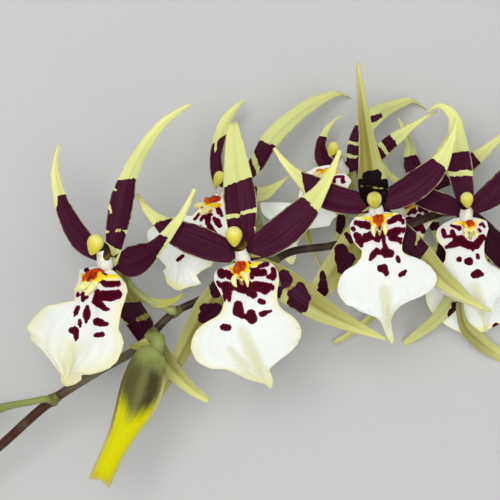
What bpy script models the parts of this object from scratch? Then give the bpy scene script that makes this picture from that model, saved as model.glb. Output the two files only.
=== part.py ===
"""A cut spray of a cambria orchid, lying on a flat surface with its blooms facing up.

Metres, +Z up. The stem runs from its cut end at the right (+X) to its last buds at the left (-X).
"""

import bpy
import bmesh
import math
from mathutils import Matrix, Vector

MM = 0.001

# The measuring grid: x to the right and y down in steps of 0.415 mm, as seen from one point
# straight above the spray, and a height above the surface in millimetres.
STEP = 0.415 * MM
GRID_MIDDLE = 250
LEVEL = 60 * MM
VIEW_HEIGHT = 600 * MM
SHIFT_X = -22.6 * MM
SHIFT_Y = 29.1 * MM

# Sizes shared by the blooms
SHEET = 0.8 * MM
BOSS_RADIUS = 2.3 * MM
ROOT_REACH = 4.5 * MM
ROOM = 0.35 * MM
STUB = 1.7 * MM
POST_RADII = (2.1 * MM, 2.1 * MM, 1.8 * MM, 1.9 * MM)
CAP_SIZE = (3.1 * MM, 2.9 * MM, 3.7 * MM)
HOOD_SIZE = (3.5 * MM, 2.4 * MM, 1.9 * MM)
CALLUS_SIZE = (2.4 * MM, 1.7 * MM, 2.8 * MM)
TOOTH_RADII = (1.1 * MM, 1.0 * MM, 0.7 * MM)
GROOVE_DEPTH = 1.2 * MM
CHANNEL = 0.28
PETAL_WAVE = 0.5 * MM
SEPAL_WAVE = 0.25 * MM
PEDICEL_RADIUS = 1.7 * MM
PEDICEL_ROOT = 1.2 * MM

# Sizes of the stem and of the grids the blades are made from (rows along, columns across)
STEM_SAMPLES = 40
NODE_SWELL = 1.35
NODE_REACH = 0.007
BARE_NODES = (0.885,)
BLADE_FINE = (7, 4)
BLADE_PLAIN = (6, 2)
LIP_FINE = (11, 6)
LIP_PLAIN = (9, 4)
FINE_BLOOMS = ("bloom1", "bloom2", "bloom3", "bloom4")

# Outlines: (share of the length, share of the full width)
SEPAL_SHAPE = ((0, 0.36), (0.16, 0.80), (0.33, 1.0), (0.5, 0.84), (0.68, 0.58), (0.85, 0.32), (1.0, 0.12))
SPEAR_SHAPE = ((0, 0.5), (0.08, 0.9), (0.16, 1.0), (0.28, 0.80), (0.45, 0.55), (0.7, 0.34), (1.0, 0.10))
STRAP_SHAPE = ((0, 0.5), (0.2, 0.92), (0.42, 1.0), (0.62, 0.80), (0.82, 0.45), (1.0, 0.16))
BRACT_SHAPE = ((0, 0.8), (0.3, 1.0), (0.7, 0.62), (1.0, 0.2))
PETAL_SHAPE = ((0, 0.34), (0.15, 0.80), (0.34, 1.0), (0.52, 0.84), (0.68, 0.46), (0.85, 0.24), (1.0, 0.12))


for leftover in list(bpy.data.objects):
    bpy.data.objects.remove(leftover)

scene = bpy.context.scene
parts = bpy.data.collections.new("cambria_orchid")
scene.collection.children.link(parts)
cutters = bpy.data.collections.new("cutters")
scene.collection.children.link(cutters)
cutters.hide_render = True


def paint(name, colour, roughness):
    """One plain material."""
    material = bpy.data.materials.new(name)
    material.use_nodes = True
    shader = material.node_tree.nodes["Principled BSDF"]
    shader.inputs["Base Color"].default_value = (*colour, 1.0)
    shader.inputs["Roughness"].default_value = roughness
    shader.inputs["Metallic"].default_value = 0.0
    material.diffuse_color = (*colour, 1.0)
    return material


# Points and curves

def step_at(height):
    """The length of one grid step at this height."""
    return STEP * (1 + (LEVEL - height) / VIEW_HEIGHT)


def seen(x, y, height):
    """The point that shows at x, y of the measuring grid and lies at this height."""
    step = step_at(height * MM)
    return Vector(((x - GRID_MIDDLE) * step + SHIFT_X, (GRID_MIDDLE - y) * step + SHIFT_Y, height * MM))


def smooth(points, marks, mark):
    """A smooth curve through the points, read at a mark between the first and the last."""
    last = len(points) - 1
    i = 0
    while i < last - 1 and mark > marks[i + 1]:
        i += 1

    def slope(k):
        if last == 1:
            return (points[1] - points[0]) / (marks[1] - marks[0])
        if k == 0:
            chord = (points[1] - points[0]) / (marks[1] - marks[0])
            return chord * 2 - slope(1)
        if k == last:
            chord = (points[last] - points[last - 1]) / (marks[last] - marks[last - 1])
            return chord * 2 - slope(last - 1)
        before = marks[k] - marks[k - 1]
        after = marks[k + 1] - marks[k]
        left = (points[k] - points[k - 1]) / before
        right = (points[k + 1] - points[k]) / after
        return (left * after + right * before) / (before + after)

    span = marks[i + 1] - marks[i]
    u = min(max((mark - marks[i]) / span, 0.0), 1.0)
    a = points[i] * (2 * u**3 - 3 * u**2 + 1)
    b = slope(i) * (span * (u**3 - 2 * u**2 + u))
    c = points[i + 1] * (3 * u**2 - 2 * u**3)
    d = slope(i + 1) * (span * (u**3 - u**2))
    return a + b + c + d


def along(points, t):
    """A point at the share t of the way along a smooth curve through the points."""
    marks = [0.0]
    for before, after in zip(points, points[1:]):
        marks.append(marks[-1] + (after - before).length)
    return smooth(points, marks, t * marks[-1])


def profile(shape, t):
    """A width read off a short list of (share of the length, width)."""
    return max(smooth([w for _, w in shape], [m for m, _ in shape], t), 0.0)


def frames_along(points, facing, count):
    """The point, sideways and outward directions at count + 1 even marks, free of twist.

    The middle one faces the way asked for, and the others are carried along from it.
    """
    places = [along(points, k / count) for k in range(count + 1)]
    aheads = []
    for k in range(count + 1):
        ahead = along(points, min((k + 0.2) / count, 1.0)) - along(points, max((k - 0.2) / count, 0.0))
        aheads.append(ahead.normalized())
    middle = count // 2
    sides = [None] * (count + 1)
    sides[middle] = aheads[middle].cross(facing).normalized()
    for k in range(middle + 1, count + 1):
        turn = aheads[k - 1].rotation_difference(aheads[k])
        sides[k] = (turn @ sides[k - 1]).normalized()
    for k in range(middle - 1, -1, -1):
        turn = aheads[k + 1].rotation_difference(aheads[k])
        sides[k] = (turn @ sides[k + 1]).normalized()
    return [(p, s, s.cross(a).normalized()) for p, s, a in zip(places, sides, aheads)]


# Making solids

def new_object(name, mesh, collection):
    made = bpy.data.objects.new(name, mesh)
    collection.objects.link(made)
    return made


def baked(source, name):
    """The object with its modifiers made real, its doubles merged, and the source removed."""
    bpy.context.view_layer.update()
    seen_by = bpy.context.evaluated_depsgraph_get()
    mesh = bpy.data.meshes.new_from_object(source.evaluated_get(seen_by))
    mesh.transform(source.matrix_world)
    bpy.data.objects.remove(source)
    tidy = bmesh.new()
    tidy.from_mesh(mesh)
    bmesh.ops.remove_doubles(tidy, verts=tidy.verts, dist=1e-6)
    bmesh.ops.recalc_face_normals(tidy, faces=tidy.faces)
    tidy.to_mesh(mesh)
    tidy.free()
    mesh.name = name
    return new_object(name, mesh, parts)


def sheet(name, columns, rows, place, thickness=SHEET):
    """A thin closed blade: a grid put in place by a formula of s (-1 to 1) and t (0 to 1)."""
    grid = bmesh.new()
    bmesh.ops.create_grid(grid, x_segments=columns, y_segments=rows, size=0.5)
    for vert in grid.verts:
        vert.co = place(vert.co.x * 2, vert.co.y + 0.5)
    bmesh.ops.triangulate(grid, faces=grid.faces, quad_method="SHORT_EDGE")
    mesh = bpy.data.meshes.new(name)
    grid.to_mesh(mesh)
    grid.free()
    flat = new_object(name, mesh, parts)
    thick = flat.modifiers.new("thickness", "SOLIDIFY")
    thick.thickness = thickness
    thick.offset = 0.0
    return baked(flat, name)


def tube(name, points, radii, roundness=2):
    """A round rod through the points, with a radius at each of them and closed ends."""
    curve = bpy.data.curves.new(name, "CURVE")
    curve.dimensions = "3D"
    curve.bevel_depth = 1.0
    curve.bevel_resolution = roundness
    curve.use_fill_caps = True
    line = curve.splines.new("POLY")
    line.points.add(len(points) - 1)
    for knot, point, radius in zip(line.points, points, radii):
        knot.co = (*point, 1.0)
        knot.radius = radius
    return baked(new_object(name, curve, parts), name)


def smooth_tube(name, points, radii, pieces, roundness=2, lead=()):
    """A rod along a smooth curve, its radius changing smoothly too; a lead is a straight start."""
    marks = [k / pieces for k in range(pieces + 1)]
    lengths = [0.0]
    for before, after in zip(points, points[1:]):
        lengths.append(lengths[-1] + (after - before).length)
    places = [along(points, m) for m in marks]
    sizes = [smooth(list(radii), lengths, m * lengths[-1]) for m in marks]
    return tube(name, list(lead) + places, [radii[0]] * len(lead) + sizes, roundness)


def ball(name, centre, radii, axis=Vector((0, 0, 1)), detail=2):
    """An egg shape with its third radius along the axis."""
    egg = bmesh.new()
    bmesh.ops.create_icosphere(egg, subdivisions=detail, radius=1.0)
    turn = axis.to_track_quat("Z", "Y").to_matrix().to_4x4()
    place = Matrix.Translation(centre) @ turn @ Matrix.Diagonal((*radii, 1.0))
    bmesh.ops.transform(egg, matrix=place, verts=egg.verts)
    mesh = bpy.data.meshes.new(name)
    egg.to_mesh(mesh)
    egg.free()
    return new_object(name, mesh, parts)


def fuse(name, pieces, material):
    """All the pieces joined into one body."""
    body = pieces[0]
    if len(pieces) > 1:
        others = bpy.data.collections.new("joined")
        for piece in pieces[1:]:
            parts.objects.unlink(piece)
            others.objects.link(piece)
        join = body.modifiers.new("join", "BOOLEAN")
        join.operation = "UNION"
        join.operand_type = "COLLECTION"
        join.collection = others
        join.solver = "EXACT"
        scene.collection.children.link(others)
        body = baked(body, name)
        for piece in list(others.objects):
            bpy.data.objects.remove(piece)
        bpy.data.collections.remove(others)
    body.name = name
    body.data.name = name
    body.data.materials.clear()
    body.data.materials.append(material)
    body.data.shade_smooth()
    return body


def cut(body, cutter):
    """Takes the cutter's volume off the body."""
    bite = body.modifiers.new("cut", "BOOLEAN")
    bite.operation = "DIFFERENCE"
    bite.object = cutter
    bite.solver = "EXACT"
    name = body.name
    material = body.data.materials[0]
    body = baked(body, name)
    body.name = name
    body.data.name = name
    body.data.materials.clear()
    body.data.materials.append(material)
    body.data.shade_smooth()
    return body


def box_cutter(name, centre, size, turn=None):
    """A plain box kept in the cutters' collection."""
    box = bmesh.new()
    bmesh.ops.create_cube(box, size=1.0)
    place = Matrix.Translation(centre)
    if turn is not None:
        place = place @ turn
    bmesh.ops.transform(box, matrix=place @ Matrix.Diagonal((*size, 1.0)), verts=box.verts)
    mesh = bpy.data.meshes.new(name)
    box.to_mesh(mesh)
    box.free()
    made = new_object(name, mesh, cutters)
    made.display_type = "WIRE"
    return made


# Blooms: three sepals and two petals on a small boss, a lip with its callus, a column with its
# cap, and the pedicel that carries them. Each tepal is (width, points), each point (x, y, height).

def blade(name, line, facing, width, shape, cup, wave, rows, columns):
    """A pointed blade along a line, channelled along its middle and lightly waved at its edges."""
    frames = frames_along(line, facing, rows)

    def place(s, t):
        here, side, out = frames[round(t * rows)]
        half = 0.5 * width * step_at(here.z) * profile(shape, t)
        lift = cup * half * (abs(s) ** 1.6 - 0.3)
        ripple = wave * s * s * math.sin(t * 13.0 + s * 1.7) * math.sin(math.pi * t)
        return here + side * (s * half) + out * (lift + ripple)

    return sheet(name, columns, rows, place)


def tepal(name, centre, facing, points, *form):
    """One sepal or petal, which leaves the boss in the plane of its bloom."""
    first = seen(*points[0]) - centre
    root = (first - facing * first.dot(facing)).normalized() * ROOT_REACH
    return blade(name, [centre, centre + root] + [seen(*p) for p in points], facing, *form)


def lip_sheet(name, facing, points, outline, rows, columns, curl=0.16, ruffle=0.7 * MM):
    """The lip: shoulders, a waist, and a broad lower lobe that ends in a point."""
    line = [seen(*p) for p in points]
    frames = frames_along(line, facing, rows)
    left = [(t, a) for t, a, _ in outline]
    right = [(t, b) for t, _, b in outline]

    def place(s, t):
        here, side, out = frames[round(t * rows)]
        half = profile(left if s > 0 else right, t) * step_at(here.z)
        wide = s * half
        fall = -curl * abs(wide) ** 2 / (20 * MM)
        groove = -GROOVE_DEPTH * math.exp(-((s / 0.22) ** 2)) * math.sin(math.pi * min(t * 1.1, 1.0))
        ripple = ruffle * abs(s) ** 3 * math.sin(t * 17.0 + s * 2.0) * min(t * 2.5, 1.0)
        return here + side * wide + out * (fall + groove + ripple)

    return sheet(name, columns, rows, place)


LIP_FRONT = (
    (0.00, 6, 6), (0.03, 22, 22), (0.08, 30, 30), (0.17, 32, 32), (0.28, 28, 29), (0.36, 25, 27),
    (0.44, 37, 38), (0.54, 51, 50), (0.64, 56, 50), (0.76, 44, 40), (0.88, 22, 13), (1.00, 4, 3),
)
LIP_POINTED = (
    (0.00, 6, 6), (0.03, 20, 21), (0.09, 28, 28), (0.18, 26, 27), (0.29, 19, 21),
    (0.38, 32, 35), (0.47, 43, 48), (0.54, 47, 49), (0.64, 38, 36), (0.73, 23, 17),
    (0.81, 11, 8), (0.91, 5, 5), (1.00, 3, 3),
)
LIP_TURNED = (
    (0.00, 6, 8), (0.05, 16, 25), (0.15, 22, 33), (0.27, 24, 32), (0.35, 34, 29),
    (0.44, 50, 32), (0.54, 65, 38), (0.66, 66, 38), (0.78, 50, 27), (0.90, 20, 13), (1.00, 7, 6),
)
LIP_SIDE = (
    (0.00, 6, 7), (0.05, 14, 22), (0.15, 18, 28), (0.27, 19, 27), (0.35, 28, 26),
    (0.44, 43, 30), (0.54, 52, 36), (0.66, 46, 36), (0.78, 31, 26), (0.90, 14, 13), (1.00, 6, 6),
)
LIP_UNDER = (
    (0.00, 6, 7), (0.05, 14, 20), (0.15, 18, 26), (0.27, 18, 27), (0.36, 24, 28), (0.46, 38, 32),
    (0.56, 46, 33), (0.64, 42, 19), (0.72, 34, 9), (0.84, 20, 5), (1.00, 5, 4),
)
LIP_BEHIND = (
    (0.00, 6, 6), (0.06, 18, 18), (0.16, 24, 24), (0.30, 22, 22), (0.44, 34, 34), (0.60, 44, 42),
    (0.74, 42, 46), (0.88, 26, 40), (1.00, 8, 26),
)

BLOOMS = {
    "bloom1": {
        "centre": (113, 262, 58),
        "facing": (-0.42, -0.12, 0.9),
        "dorsal": (28, ((121, 211, 60), (129, 178, 60), (143, 150, 59), (167, 120, 57),
                        (192, 104, 54))),
        "petal_left": (24, ((84, 241, 54), (71, 221, 52.5), (60, 196, 51),
                            (55.5, 170, 49.5), (59, 145, 47))),
        "petal_right": (30, ((143, 257, 62), (161, 246, 65.5), (175, 231, 68),
                             (187, 211, 69), (195, 190, 69))),
        "sepal_left": (26, ((92, 305, 54), (80, 340, 51), (72, 368, 47))),
        "sepal_right": (28, ((128, 300, 48), (140, 325, 34.5), (158, 351, 36),
                             (182, 378, 39), (210, 400, 42))),
        "lip": ((101, 268.5, 61.6), (95, 285, 65), (93, 310, 67), (84, 335, 69), (76, 355, 69),
                (66, 386, 64)),
        "outline": LIP_TURNED,
        "column": ((101, 252, 66), (96, 245, 69)),
        "pedicel": ((122, 268, 53), (132, 288, 49), (149, 301, 47), (165, 307, 47), (173, 311, 45)),
        "bract": (9, ((148, 300, 47.3), (160, 303.5, 49), (172, 301, 51), (183, 294, 52))),
    },
    "bloom2": {
        "centre": (243, 257, 62),
        "facing": (0, 0, 1),
        "dorsal": (33, ((241, 210, 64), (237, 170, 62), (234, 140, 57), (233, 124, 51),
                        (233, 126, 42))),
        "petal_left": (31, ((205, 244, 62), (165, 226, 61), (150, 213, 57),
                            (137, 194, 50))),
        "petal_right": (33, ((283, 231, 64.5), (311, 203, 65), (328, 178, 65),
                             (340, 150, 63))),
        "sepal_left": (26, ((222, 287, 57), (205, 312, 48), (185, 347, 38),
                            (168, 380, 33), (150, 410, 30))),
        "sepal_right": (32, ((285, 285, 62), (320, 309, 62), (350, 324, 61),
                             (386, 339, 58))),
        "lip": ((243, 262.5, 64.8), (245, 276, 68), (250, 308, 71), (249, 333, 72), (254, 357, 71),
                (262, 374, 69), (271, 388, 66)),
        "outline": LIP_FRONT,
        "column": ((240, 250, 70), (235, 238, 73)),
        "pedicel": ((246, 260, 55), (255, 265, 50), (260, 268, 46)),
    },
    "bloom3": {
        "centre": (376, 207, 60),
        "facing": (0, 0, 1),
        "dorsal": (30, ((372, 178, 61), (367, 140, 59), (362, 102, 56), (358, 63, 51)),
                   SPEAR_SHAPE),
        "petal_left": (28, ((333, 198, 58), (303, 180, 55), (287, 165, 52),
                            (274, 148, 49))),
        "petal_right": (29, ((412, 188, 62), (441, 161, 61), (451, 140, 60),
                             (457, 117, 57))),
        "sepal_left": (27, ((350, 243, 55), (328, 277, 49), (305, 302, 43))),
        "sepal_right": (24, ((412, 238, 62), (445, 268, 63), (491, 311, 61))),
        "lip": ((377, 212.5, 62.8), (378, 224, 66), (381, 251, 69), (386, 280, 70), (389, 305, 68),
                (391, 325, 65), (392, 343, 61)),
        "outline": LIP_POINTED,
        "column": ((375, 204, 67), (374, 200, 71)),
        "pedicel": ((373, 213, 54), (368, 226, 48), (366, 235, 43)),
    },
    "bloom4": {
        "centre": (468, 212, 42),
        "facing": (0, 0, 1),
        "dorsal": (25, ((461, 178, 42), (457, 140, 40), (452, 115, 38), (440, 106, 36),
                        (428, 113, 33))),
        "petal_left": (22, ((440, 203, 42), (418, 195, 41), (395, 180, 39),
                            (382, 162, 36))),
        "petal_right": (27, ((495, 192, 44), (520, 166, 43), (535, 140, 41),
                             (543, 113, 37))),
        "sepal_left": (22, ((448, 242, 36), (441, 264, 31), (440, 285, 28))),
        "sepal_right": (26, ((492, 243, 42), (512, 268, 40), (548, 300, 34))),
        "lip": ((468, 217.5, 44.8), (468, 230, 48), (470, 258, 51), (474, 285, 53), (478, 305, 52),
                (481, 320, 50), (483, 336, 46)),
        "outline": LIP_POINTED,
        "column": ((467, 207, 49), (467, 201, 52.5)),
        "pedicel": ((467.5, 209.5, 35.3),),
    },
    "bloom5": {
        "centre": (240, 190, 26),
        "facing": (-0.6, -0.1, 0.8),
        "dorsal": (20, ((257, 164, 27), (270, 142, 28), (290, 121, 26), (315, 103, 19),
                        (339, 94, 8), (350, 98, 0.3)), STRAP_SHAPE),
        "petal_left": (17, ((222, 183, 20), (217, 165, 18), (220, 140, 17),
                            (230, 115, 16), (245, 100, 14))),
        "petal_right": (15, ((262, 194, 29), (276, 186, 29), (290, 175, 27))),
        "sepal_left": (20, ((214, 214, 16), (196, 232, 9), (180, 244, 4))),
        "sepal_right": (16, ((245, 209, 25), (247, 226, 22), (246, 243, 18))),
        "lip": ((232.5, 196, 30.5), (214, 209, 36), (197, 228, 38), (184, 252, 37), (178, 272, 34),
                (177, 290, 30)),
        "outline": LIP_SIDE,
        "column": ((226, 183, 36), (219, 178, 40)),
        "pedicel": ((252, 202, 17.5), (258, 222, 19), (261, 240, 26), (265, 255, 34)),
    },
    "bloom6": {
        "centre": (352, 167, 22),
        "facing": (-0.6, -0.1, 0.8),
        "dorsal": (20, ((357, 143, 23), (366, 126, 23), (380, 113, 20), (397, 105, 13),
                        (412, 101, 6), (425, 109, 0.3)), STRAP_SHAPE),
        "petal_left": (19, ((331, 167, 16), (322, 154, 15), (323, 138, 15),
                            (331, 124, 14), (342, 116, 12))),
        "petal_right": (17, ((376, 155, 26), (393, 141, 29), (414, 125, 30),
                             (437, 111, 28))),
        "sepal_left": (14, ((322, 200, 14), (306, 225, 10), (313, 250, 7),
                            (322, 268, 4))),
        "sepal_right": (20, ((346, 205, 18), (341, 225, 15), (334, 250, 11))),
        "lip": ((344, 173, 26.6), (322, 184, 31), (309, 198, 32), (303, 216, 32), (300, 233, 30),
                (295, 250, 27), (290, 264, 24)),
        "outline": LIP_UNDER,
        "column": ((341, 157, 32), (335, 149, 36)),
        "pedicel": ((362, 180, 17), (365, 200, 20), (357, 222, 28), (347, 235, 34)),
    },
    "bloom7": {
        "centre": (427, 192, 20),
        "facing": (-0.6, -0.1, 0.8),
        "dorsal": (20, ((437, 168, 21), (446, 145, 21), (455, 125, 19))),
        "petal_left": (19, ((414, 168, 16), (408, 140, 16), (398, 118, 14))),
        "petal_right": (18, ((455, 174, 22), (478, 157, 24), (500, 138, 24),
                             (520, 120, 20))),
        "sepal_left": (16, ((408, 225, 13), (396, 262, 9), (382, 305, 6), (360, 327, 4),
                            (334, 343, 2.5))),
        "sepal_right": (14, ((434, 222, 14), (441, 246, 10), (447, 268, 5))),
        "lip": ((417, 197, 22), (410, 207, 24), (400, 227, 24), (391, 247, 22), (386, 265, 18),
                (384, 280, 14)),
        "outline": LIP_SIDE,
        "column": ((416, 184, 27), (411, 178, 31)),
        "pedicel": ((437, 194, 15), (444, 202, 20), (442, 209, 26)),
    },
    "bloom8": {
        "centre": (470, 250, 20),
        "facing": (-0.1, 0.1, -1.0),
        "dorsal": (20, ((468, 226, 19.5), (465, 208, 18), (462, 190, 15))),
        "petal_left": (20, ((450, 250, 19.5), (430, 254, 19), (411, 258, 17))),
        "petal_right": (20, ((492, 252, 19.5), (515, 250, 18), (535, 246, 15))),
        "sepal_left": (19, ((462, 276, 20), (453, 300, 20), (437, 319, 17), (420, 333, 9),
                            (404, 344, 0.3))),
        "sepal_right": (19, ((472, 276, 20), (463, 306, 20), (470, 327, 17), (487, 343, 9),
                             (507, 359, 0.3))),
        "lip": ((469.5, 257.3, 16.4), (469, 263, 14), (466, 280, 12), (463, 298, 11.5), (460, 313, 11.5),
                (457, 327, 12)),
        "outline": LIP_BEHIND,
        "column": ((470, 246, 13.5), (470, 243, 10)),
        "pedicel": ((471, 247, 26.5), (474, 234, 30), (477, 219, 30)),
    },
}

# Materials: green for what carries a bloom, then the stem, the tepals, the lips, the columns, buds

green = paint("green_pedicel", (0.25, 0.33, 0.07), 0.5)
stem_brown = paint("stem_brown", (0.10, 0.06, 0.05), 0.5)
tepal_purple = paint("tepal_purple", (0.07, 0.01, 0.04), 0.45)
lip_white = paint("lip_white", (0.82, 0.80, 0.68), 0.5)
column_cream = paint("column_cream", (0.78, 0.70, 0.30), 0.4)
bud_green = paint("bud_green", (0.45, 0.42, 0.06), 0.5)

# Stem: the line it follows and its radius in millimetres, from the last buds to the cut end

STEM = (
    ((-78, 505, 14), 1.2), ((-45, 484, 22), 1.5), ((0, 446, 30), 2.0), ((54, 399, 36), 2.05),
    ((97, 372, 38), 1.95), ((139, 347, 40.5), 1.9), ((175, 312, 41), 1.7), ((200, 300, 40.5), 1.7),
    ((235, 283, 40), 1.7), ((262, 269, 40), 1.7), ((288, 253, 39.5), 1.7), ((330, 246, 38.5), 1.7),
    ((358, 240, 38), 1.75), ((388, 231, 36.5), 1.8), ((413, 223, 35), 1.8), ((437, 214, 33), 1.85),
    ((468, 204, 29), 1.85), ((500, 193, 24.5), 1.9), ((560, 174, 16), 1.95), ((630, 157, 6.5), 2.0),
    ((690, 147, 2.0), 2.05), ((735, 141, 1.75), 2.05),
)
STEM_LINE = [seen(*place) for place, _ in STEM]
STEM_RADII = [radius * MM for _, radius in STEM]
STEM_MARKS = [0.0]
for before, after in zip(STEM_LINE, STEM_LINE[1:]):
    STEM_MARKS.append(STEM_MARKS[-1] + (after - before).length)


def stem_place(t):
    return along(STEM_LINE, t)


def stem_radius(t):
    return smooth(STEM_RADII, STEM_MARKS, t * STEM_MARKS[-1])


def meet_stem(point):
    """Where on the stem a pedicel that comes from this point stands: its share, and its foot."""
    share = min((k / 400 for k in range(401)), key=lambda t: (stem_place(t) - point).length)
    middle = stem_place(share)
    foot = middle + (point - middle).normalized() * (stem_radius(share) * NODE_SWELL + ROOM)
    return share, foot


def bract(width, points):
    """A small pointed scale that stands where a pedicel leaves the stem."""
    return blade("bract", [seen(*p) for p in points], Vector((0, 0, 1)), width, BRACT_SHAPE, 0.3, 0.0, 5, 2)


def build_bloom(name, bloom):
    """The four bodies of one bloom; gives back where its pedicel stands on the stem."""
    fine = name in FINE_BLOOMS
    centre = seen(*bloom["centre"])
    facing = Vector(bloom["facing"]).normalized()
    blades = [ball(name + "_boss", centre, (BOSS_RADIUS,) * 3)]
    for part in ("dorsal", "petal_left", "petal_right", "sepal_left", "sepal_right"):
        width, points = bloom[part][:2]
        shape = PETAL_SHAPE if "petal" in part else SEPAL_SHAPE
        if len(bloom[part]) == 3:
            shape = bloom[part][2]
        wave = PETAL_WAVE if "petal" in part else SEPAL_WAVE
        grid = BLADE_FINE if fine else BLADE_PLAIN
        blades.append(tepal(part, centre, facing, points, width, shape, CHANNEL, wave, *grid))
    fuse(name + "_tepals", blades, tepal_purple)

    points = bloom["lip"]
    line = [seen(*p) for p in points]
    grid = LIP_FINE if fine else LIP_PLAIN
    pieces = [lip_sheet("sheet", facing, points, bloom["outline"], *grid)]
    here, side, out = frames_along(line, facing, 16)[1]
    ahead = out.cross(side)
    pieces.append(ball("callus", here + out * 0.6 * MM, CALLUS_SIZE, ahead))
    if fine:
        for sign in (-1, 1):
            root = here + side * (sign * 1.2 * MM) + out * 0.8 * MM
            tip = here + side * (sign * 2.4 * MM) + ahead * 4.6 * MM + out * 2.2 * MM
            pieces.append(tube("tooth", (root, root.lerp(tip, 0.6), tip), TOOTH_RADII, 1))
    fuse(name + "_lip", pieces, lip_white)

    middle, top = [seen(*p) for p in bloom["column"]]
    foot = centre + facing * (BOSS_RADIUS + ROOM)
    neck = foot + facing * STUB
    rise = (top - middle).normalized()
    down = (facing.cross(rise)).cross(facing).normalized()
    pieces = [tube("post", (foot, neck, middle, top), POST_RADII, 1)]
    pieces.append(ball("cap", top + rise * 0.6 * MM, CAP_SIZE, down))
    pieces.append(ball("hood", middle.lerp(top, 0.55), HOOD_SIZE, rise, 1))
    fuse(name + "_column", pieces, column_cream)

    back = centre - facing * (BOSS_RADIUS + ROOM)
    line = [back - facing * STUB] + [seen(*p) for p in bloom["pedicel"]]
    share, foot = meet_stem(line[-1])
    line.append(foot)
    radii = [PEDICEL_RADIUS] * (len(line) - 1) + [PEDICEL_ROOT]
    pieces = [smooth_tube("pedicel", line, radii, 6, 1, (back,))]
    if "bract" in bloom:
        pieces.append(bract(*bloom["bract"]))
    fuse(name + "_pedicel", pieces, green)
    return share


node_shares = [build_bloom(bloom_name, bloom) for bloom_name, bloom in BLOOMS.items()]

# Buds: each pedicel and its bud are one body; the first is opening, with one sepal lifted away

BUD_SEPAL = (43, ((150, 358, 56), (142, 380, 57), (133, 410, 56), (119, 440, 54), (108, 463, 52),
                  (100, 481, 50)))
BUD_BRACT = (11, ((154, 341, 52), (146, 344, 51.5), (138, 346, 49.5), (130, 347, 46.8)))
BUD_SEPAL_SHAPE = ((0, 0.5), (0.18, 0.97), (0.3, 1.0), (0.5, 0.86), (0.7, 0.62), (0.85, 0.54), (1.0, 0.50))
BUDS = {
    "bud1": (((150, 337, 50), (158, 340, 54), (155, 352, 53.5), (147, 372, 51), (137, 398, 50),
              (122, 430, 49), (109, 458, 48), (103, 472, 48)),
             (2.3, 3.0, 3.4, 5.6, 5.4, 3.8, 2.6, 1.6)),
    "bud2": (((46, 399, 42.5), (30, 402, 42.5), (8, 406, 37), (-6, 410, 32), (-25, 413, 28),
              (-50, 418, 22), (-84, 424, 15)),
             (1.5, 1.5, 1.7, 2.4, 4.4, 4.0, 1.0)),
    "bud3": (((-20, 485, 16), (-22, 496, 11), (-26, 508, 7), (-31, 525, 3.8), (-40, 552, 4.5)),
             (1.3, 2.0, 3.4, 4.0, 0.9)),
    "bud4": (((-70, 474, 15), (-80, 468, 11), (-92, 463, 6), (-108, 458, 3.4), (-136, 452, 4)),
             (1.2, 1.8, 3.0, 3.6, 0.8)),
}
for bud_name, (points, radii) in BUDS.items():
    line = [seen(*p) for p in points]
    share, foot = meet_stem(line[0])
    node_shares.append(share)
    sizes = [1.5 * MM] + [r * MM for r in radii]
    pieces = [smooth_tube("bud", [foot] + line, sizes, 14, 2)]
    if bud_name == "bud1":
        width, points = BUD_SEPAL
        facing = Vector((0, 0, 1))
        pieces.append(bract(*BUD_BRACT))
        path = [line[2]] + [seen(*p) for p in points]
        pieces.append(blade("opening", path, facing, width, BUD_SEPAL_SHAPE, -0.45, 0.3 * MM, 8, 4))
    fuse(bud_name, pieces, bud_green)

# Stem: its rings lie evenly, with three more at each node where it swells

rings = [(k / STEM_SAMPLES, 1.0) for k in range(STEM_SAMPLES + 1)]
for share in node_shares + list(BARE_NODES):
    rings = [ring for ring in rings if abs(ring[0] - share) > NODE_REACH * 1.3 or ring[0] in (0, 1)]
    rings += [(share - NODE_REACH, 1.04), (share, NODE_SWELL), (share + NODE_REACH, 1.04)]
rings.sort()
rod = tube("rod", [stem_place(t) for t, _ in rings], [stem_radius(t) * swell for t, swell in rings], 2)
stem = fuse("stem", [rod], stem_brown)

# The stem was cut on the slant at its right end

CUT_TURN = Matrix.Rotation(math.radians(-38), 4, "Z")
end = seen(731, 141.5, 1.75)
slant = box_cutter("slanted_end", end + CUT_TURN @ Vector((0.01, 0, 0)), (0.02, 0.04, 0.02), CUT_TURN)
stem = cut(stem, slant)

# The surface: whatever dips under it is trimmed flat

under = box_cutter("under_the_surface", (0, 0, -0.05), (1.0, 1.0, 0.1))
for body in list(parts.objects):
    if min(v.co.z for v in body.data.vertices) < 0:
        cut(body, under)
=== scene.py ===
"""A cut spray of a cambria orchid, lying on a pale surface and seen from straight above.

Metres, +Z up. The stem runs from its cut end at the right (+X) to its last buds at the left (-X).
"""

import bpy
import math
import numpy as np
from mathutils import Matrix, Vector


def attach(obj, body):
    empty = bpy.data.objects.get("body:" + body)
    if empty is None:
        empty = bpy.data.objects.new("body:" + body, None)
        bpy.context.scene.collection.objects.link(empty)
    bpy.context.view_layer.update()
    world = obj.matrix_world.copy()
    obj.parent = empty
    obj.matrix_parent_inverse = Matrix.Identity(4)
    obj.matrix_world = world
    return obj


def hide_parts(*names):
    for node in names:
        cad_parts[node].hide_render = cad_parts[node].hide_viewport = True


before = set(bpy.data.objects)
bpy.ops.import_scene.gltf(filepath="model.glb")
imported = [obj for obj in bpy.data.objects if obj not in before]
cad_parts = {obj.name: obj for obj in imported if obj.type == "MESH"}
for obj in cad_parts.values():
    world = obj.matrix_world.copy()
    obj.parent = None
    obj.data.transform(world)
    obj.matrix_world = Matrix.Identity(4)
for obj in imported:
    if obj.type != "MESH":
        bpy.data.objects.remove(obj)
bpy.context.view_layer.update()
bpy.ops.object.select_all(action="DESELECT")


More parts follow.
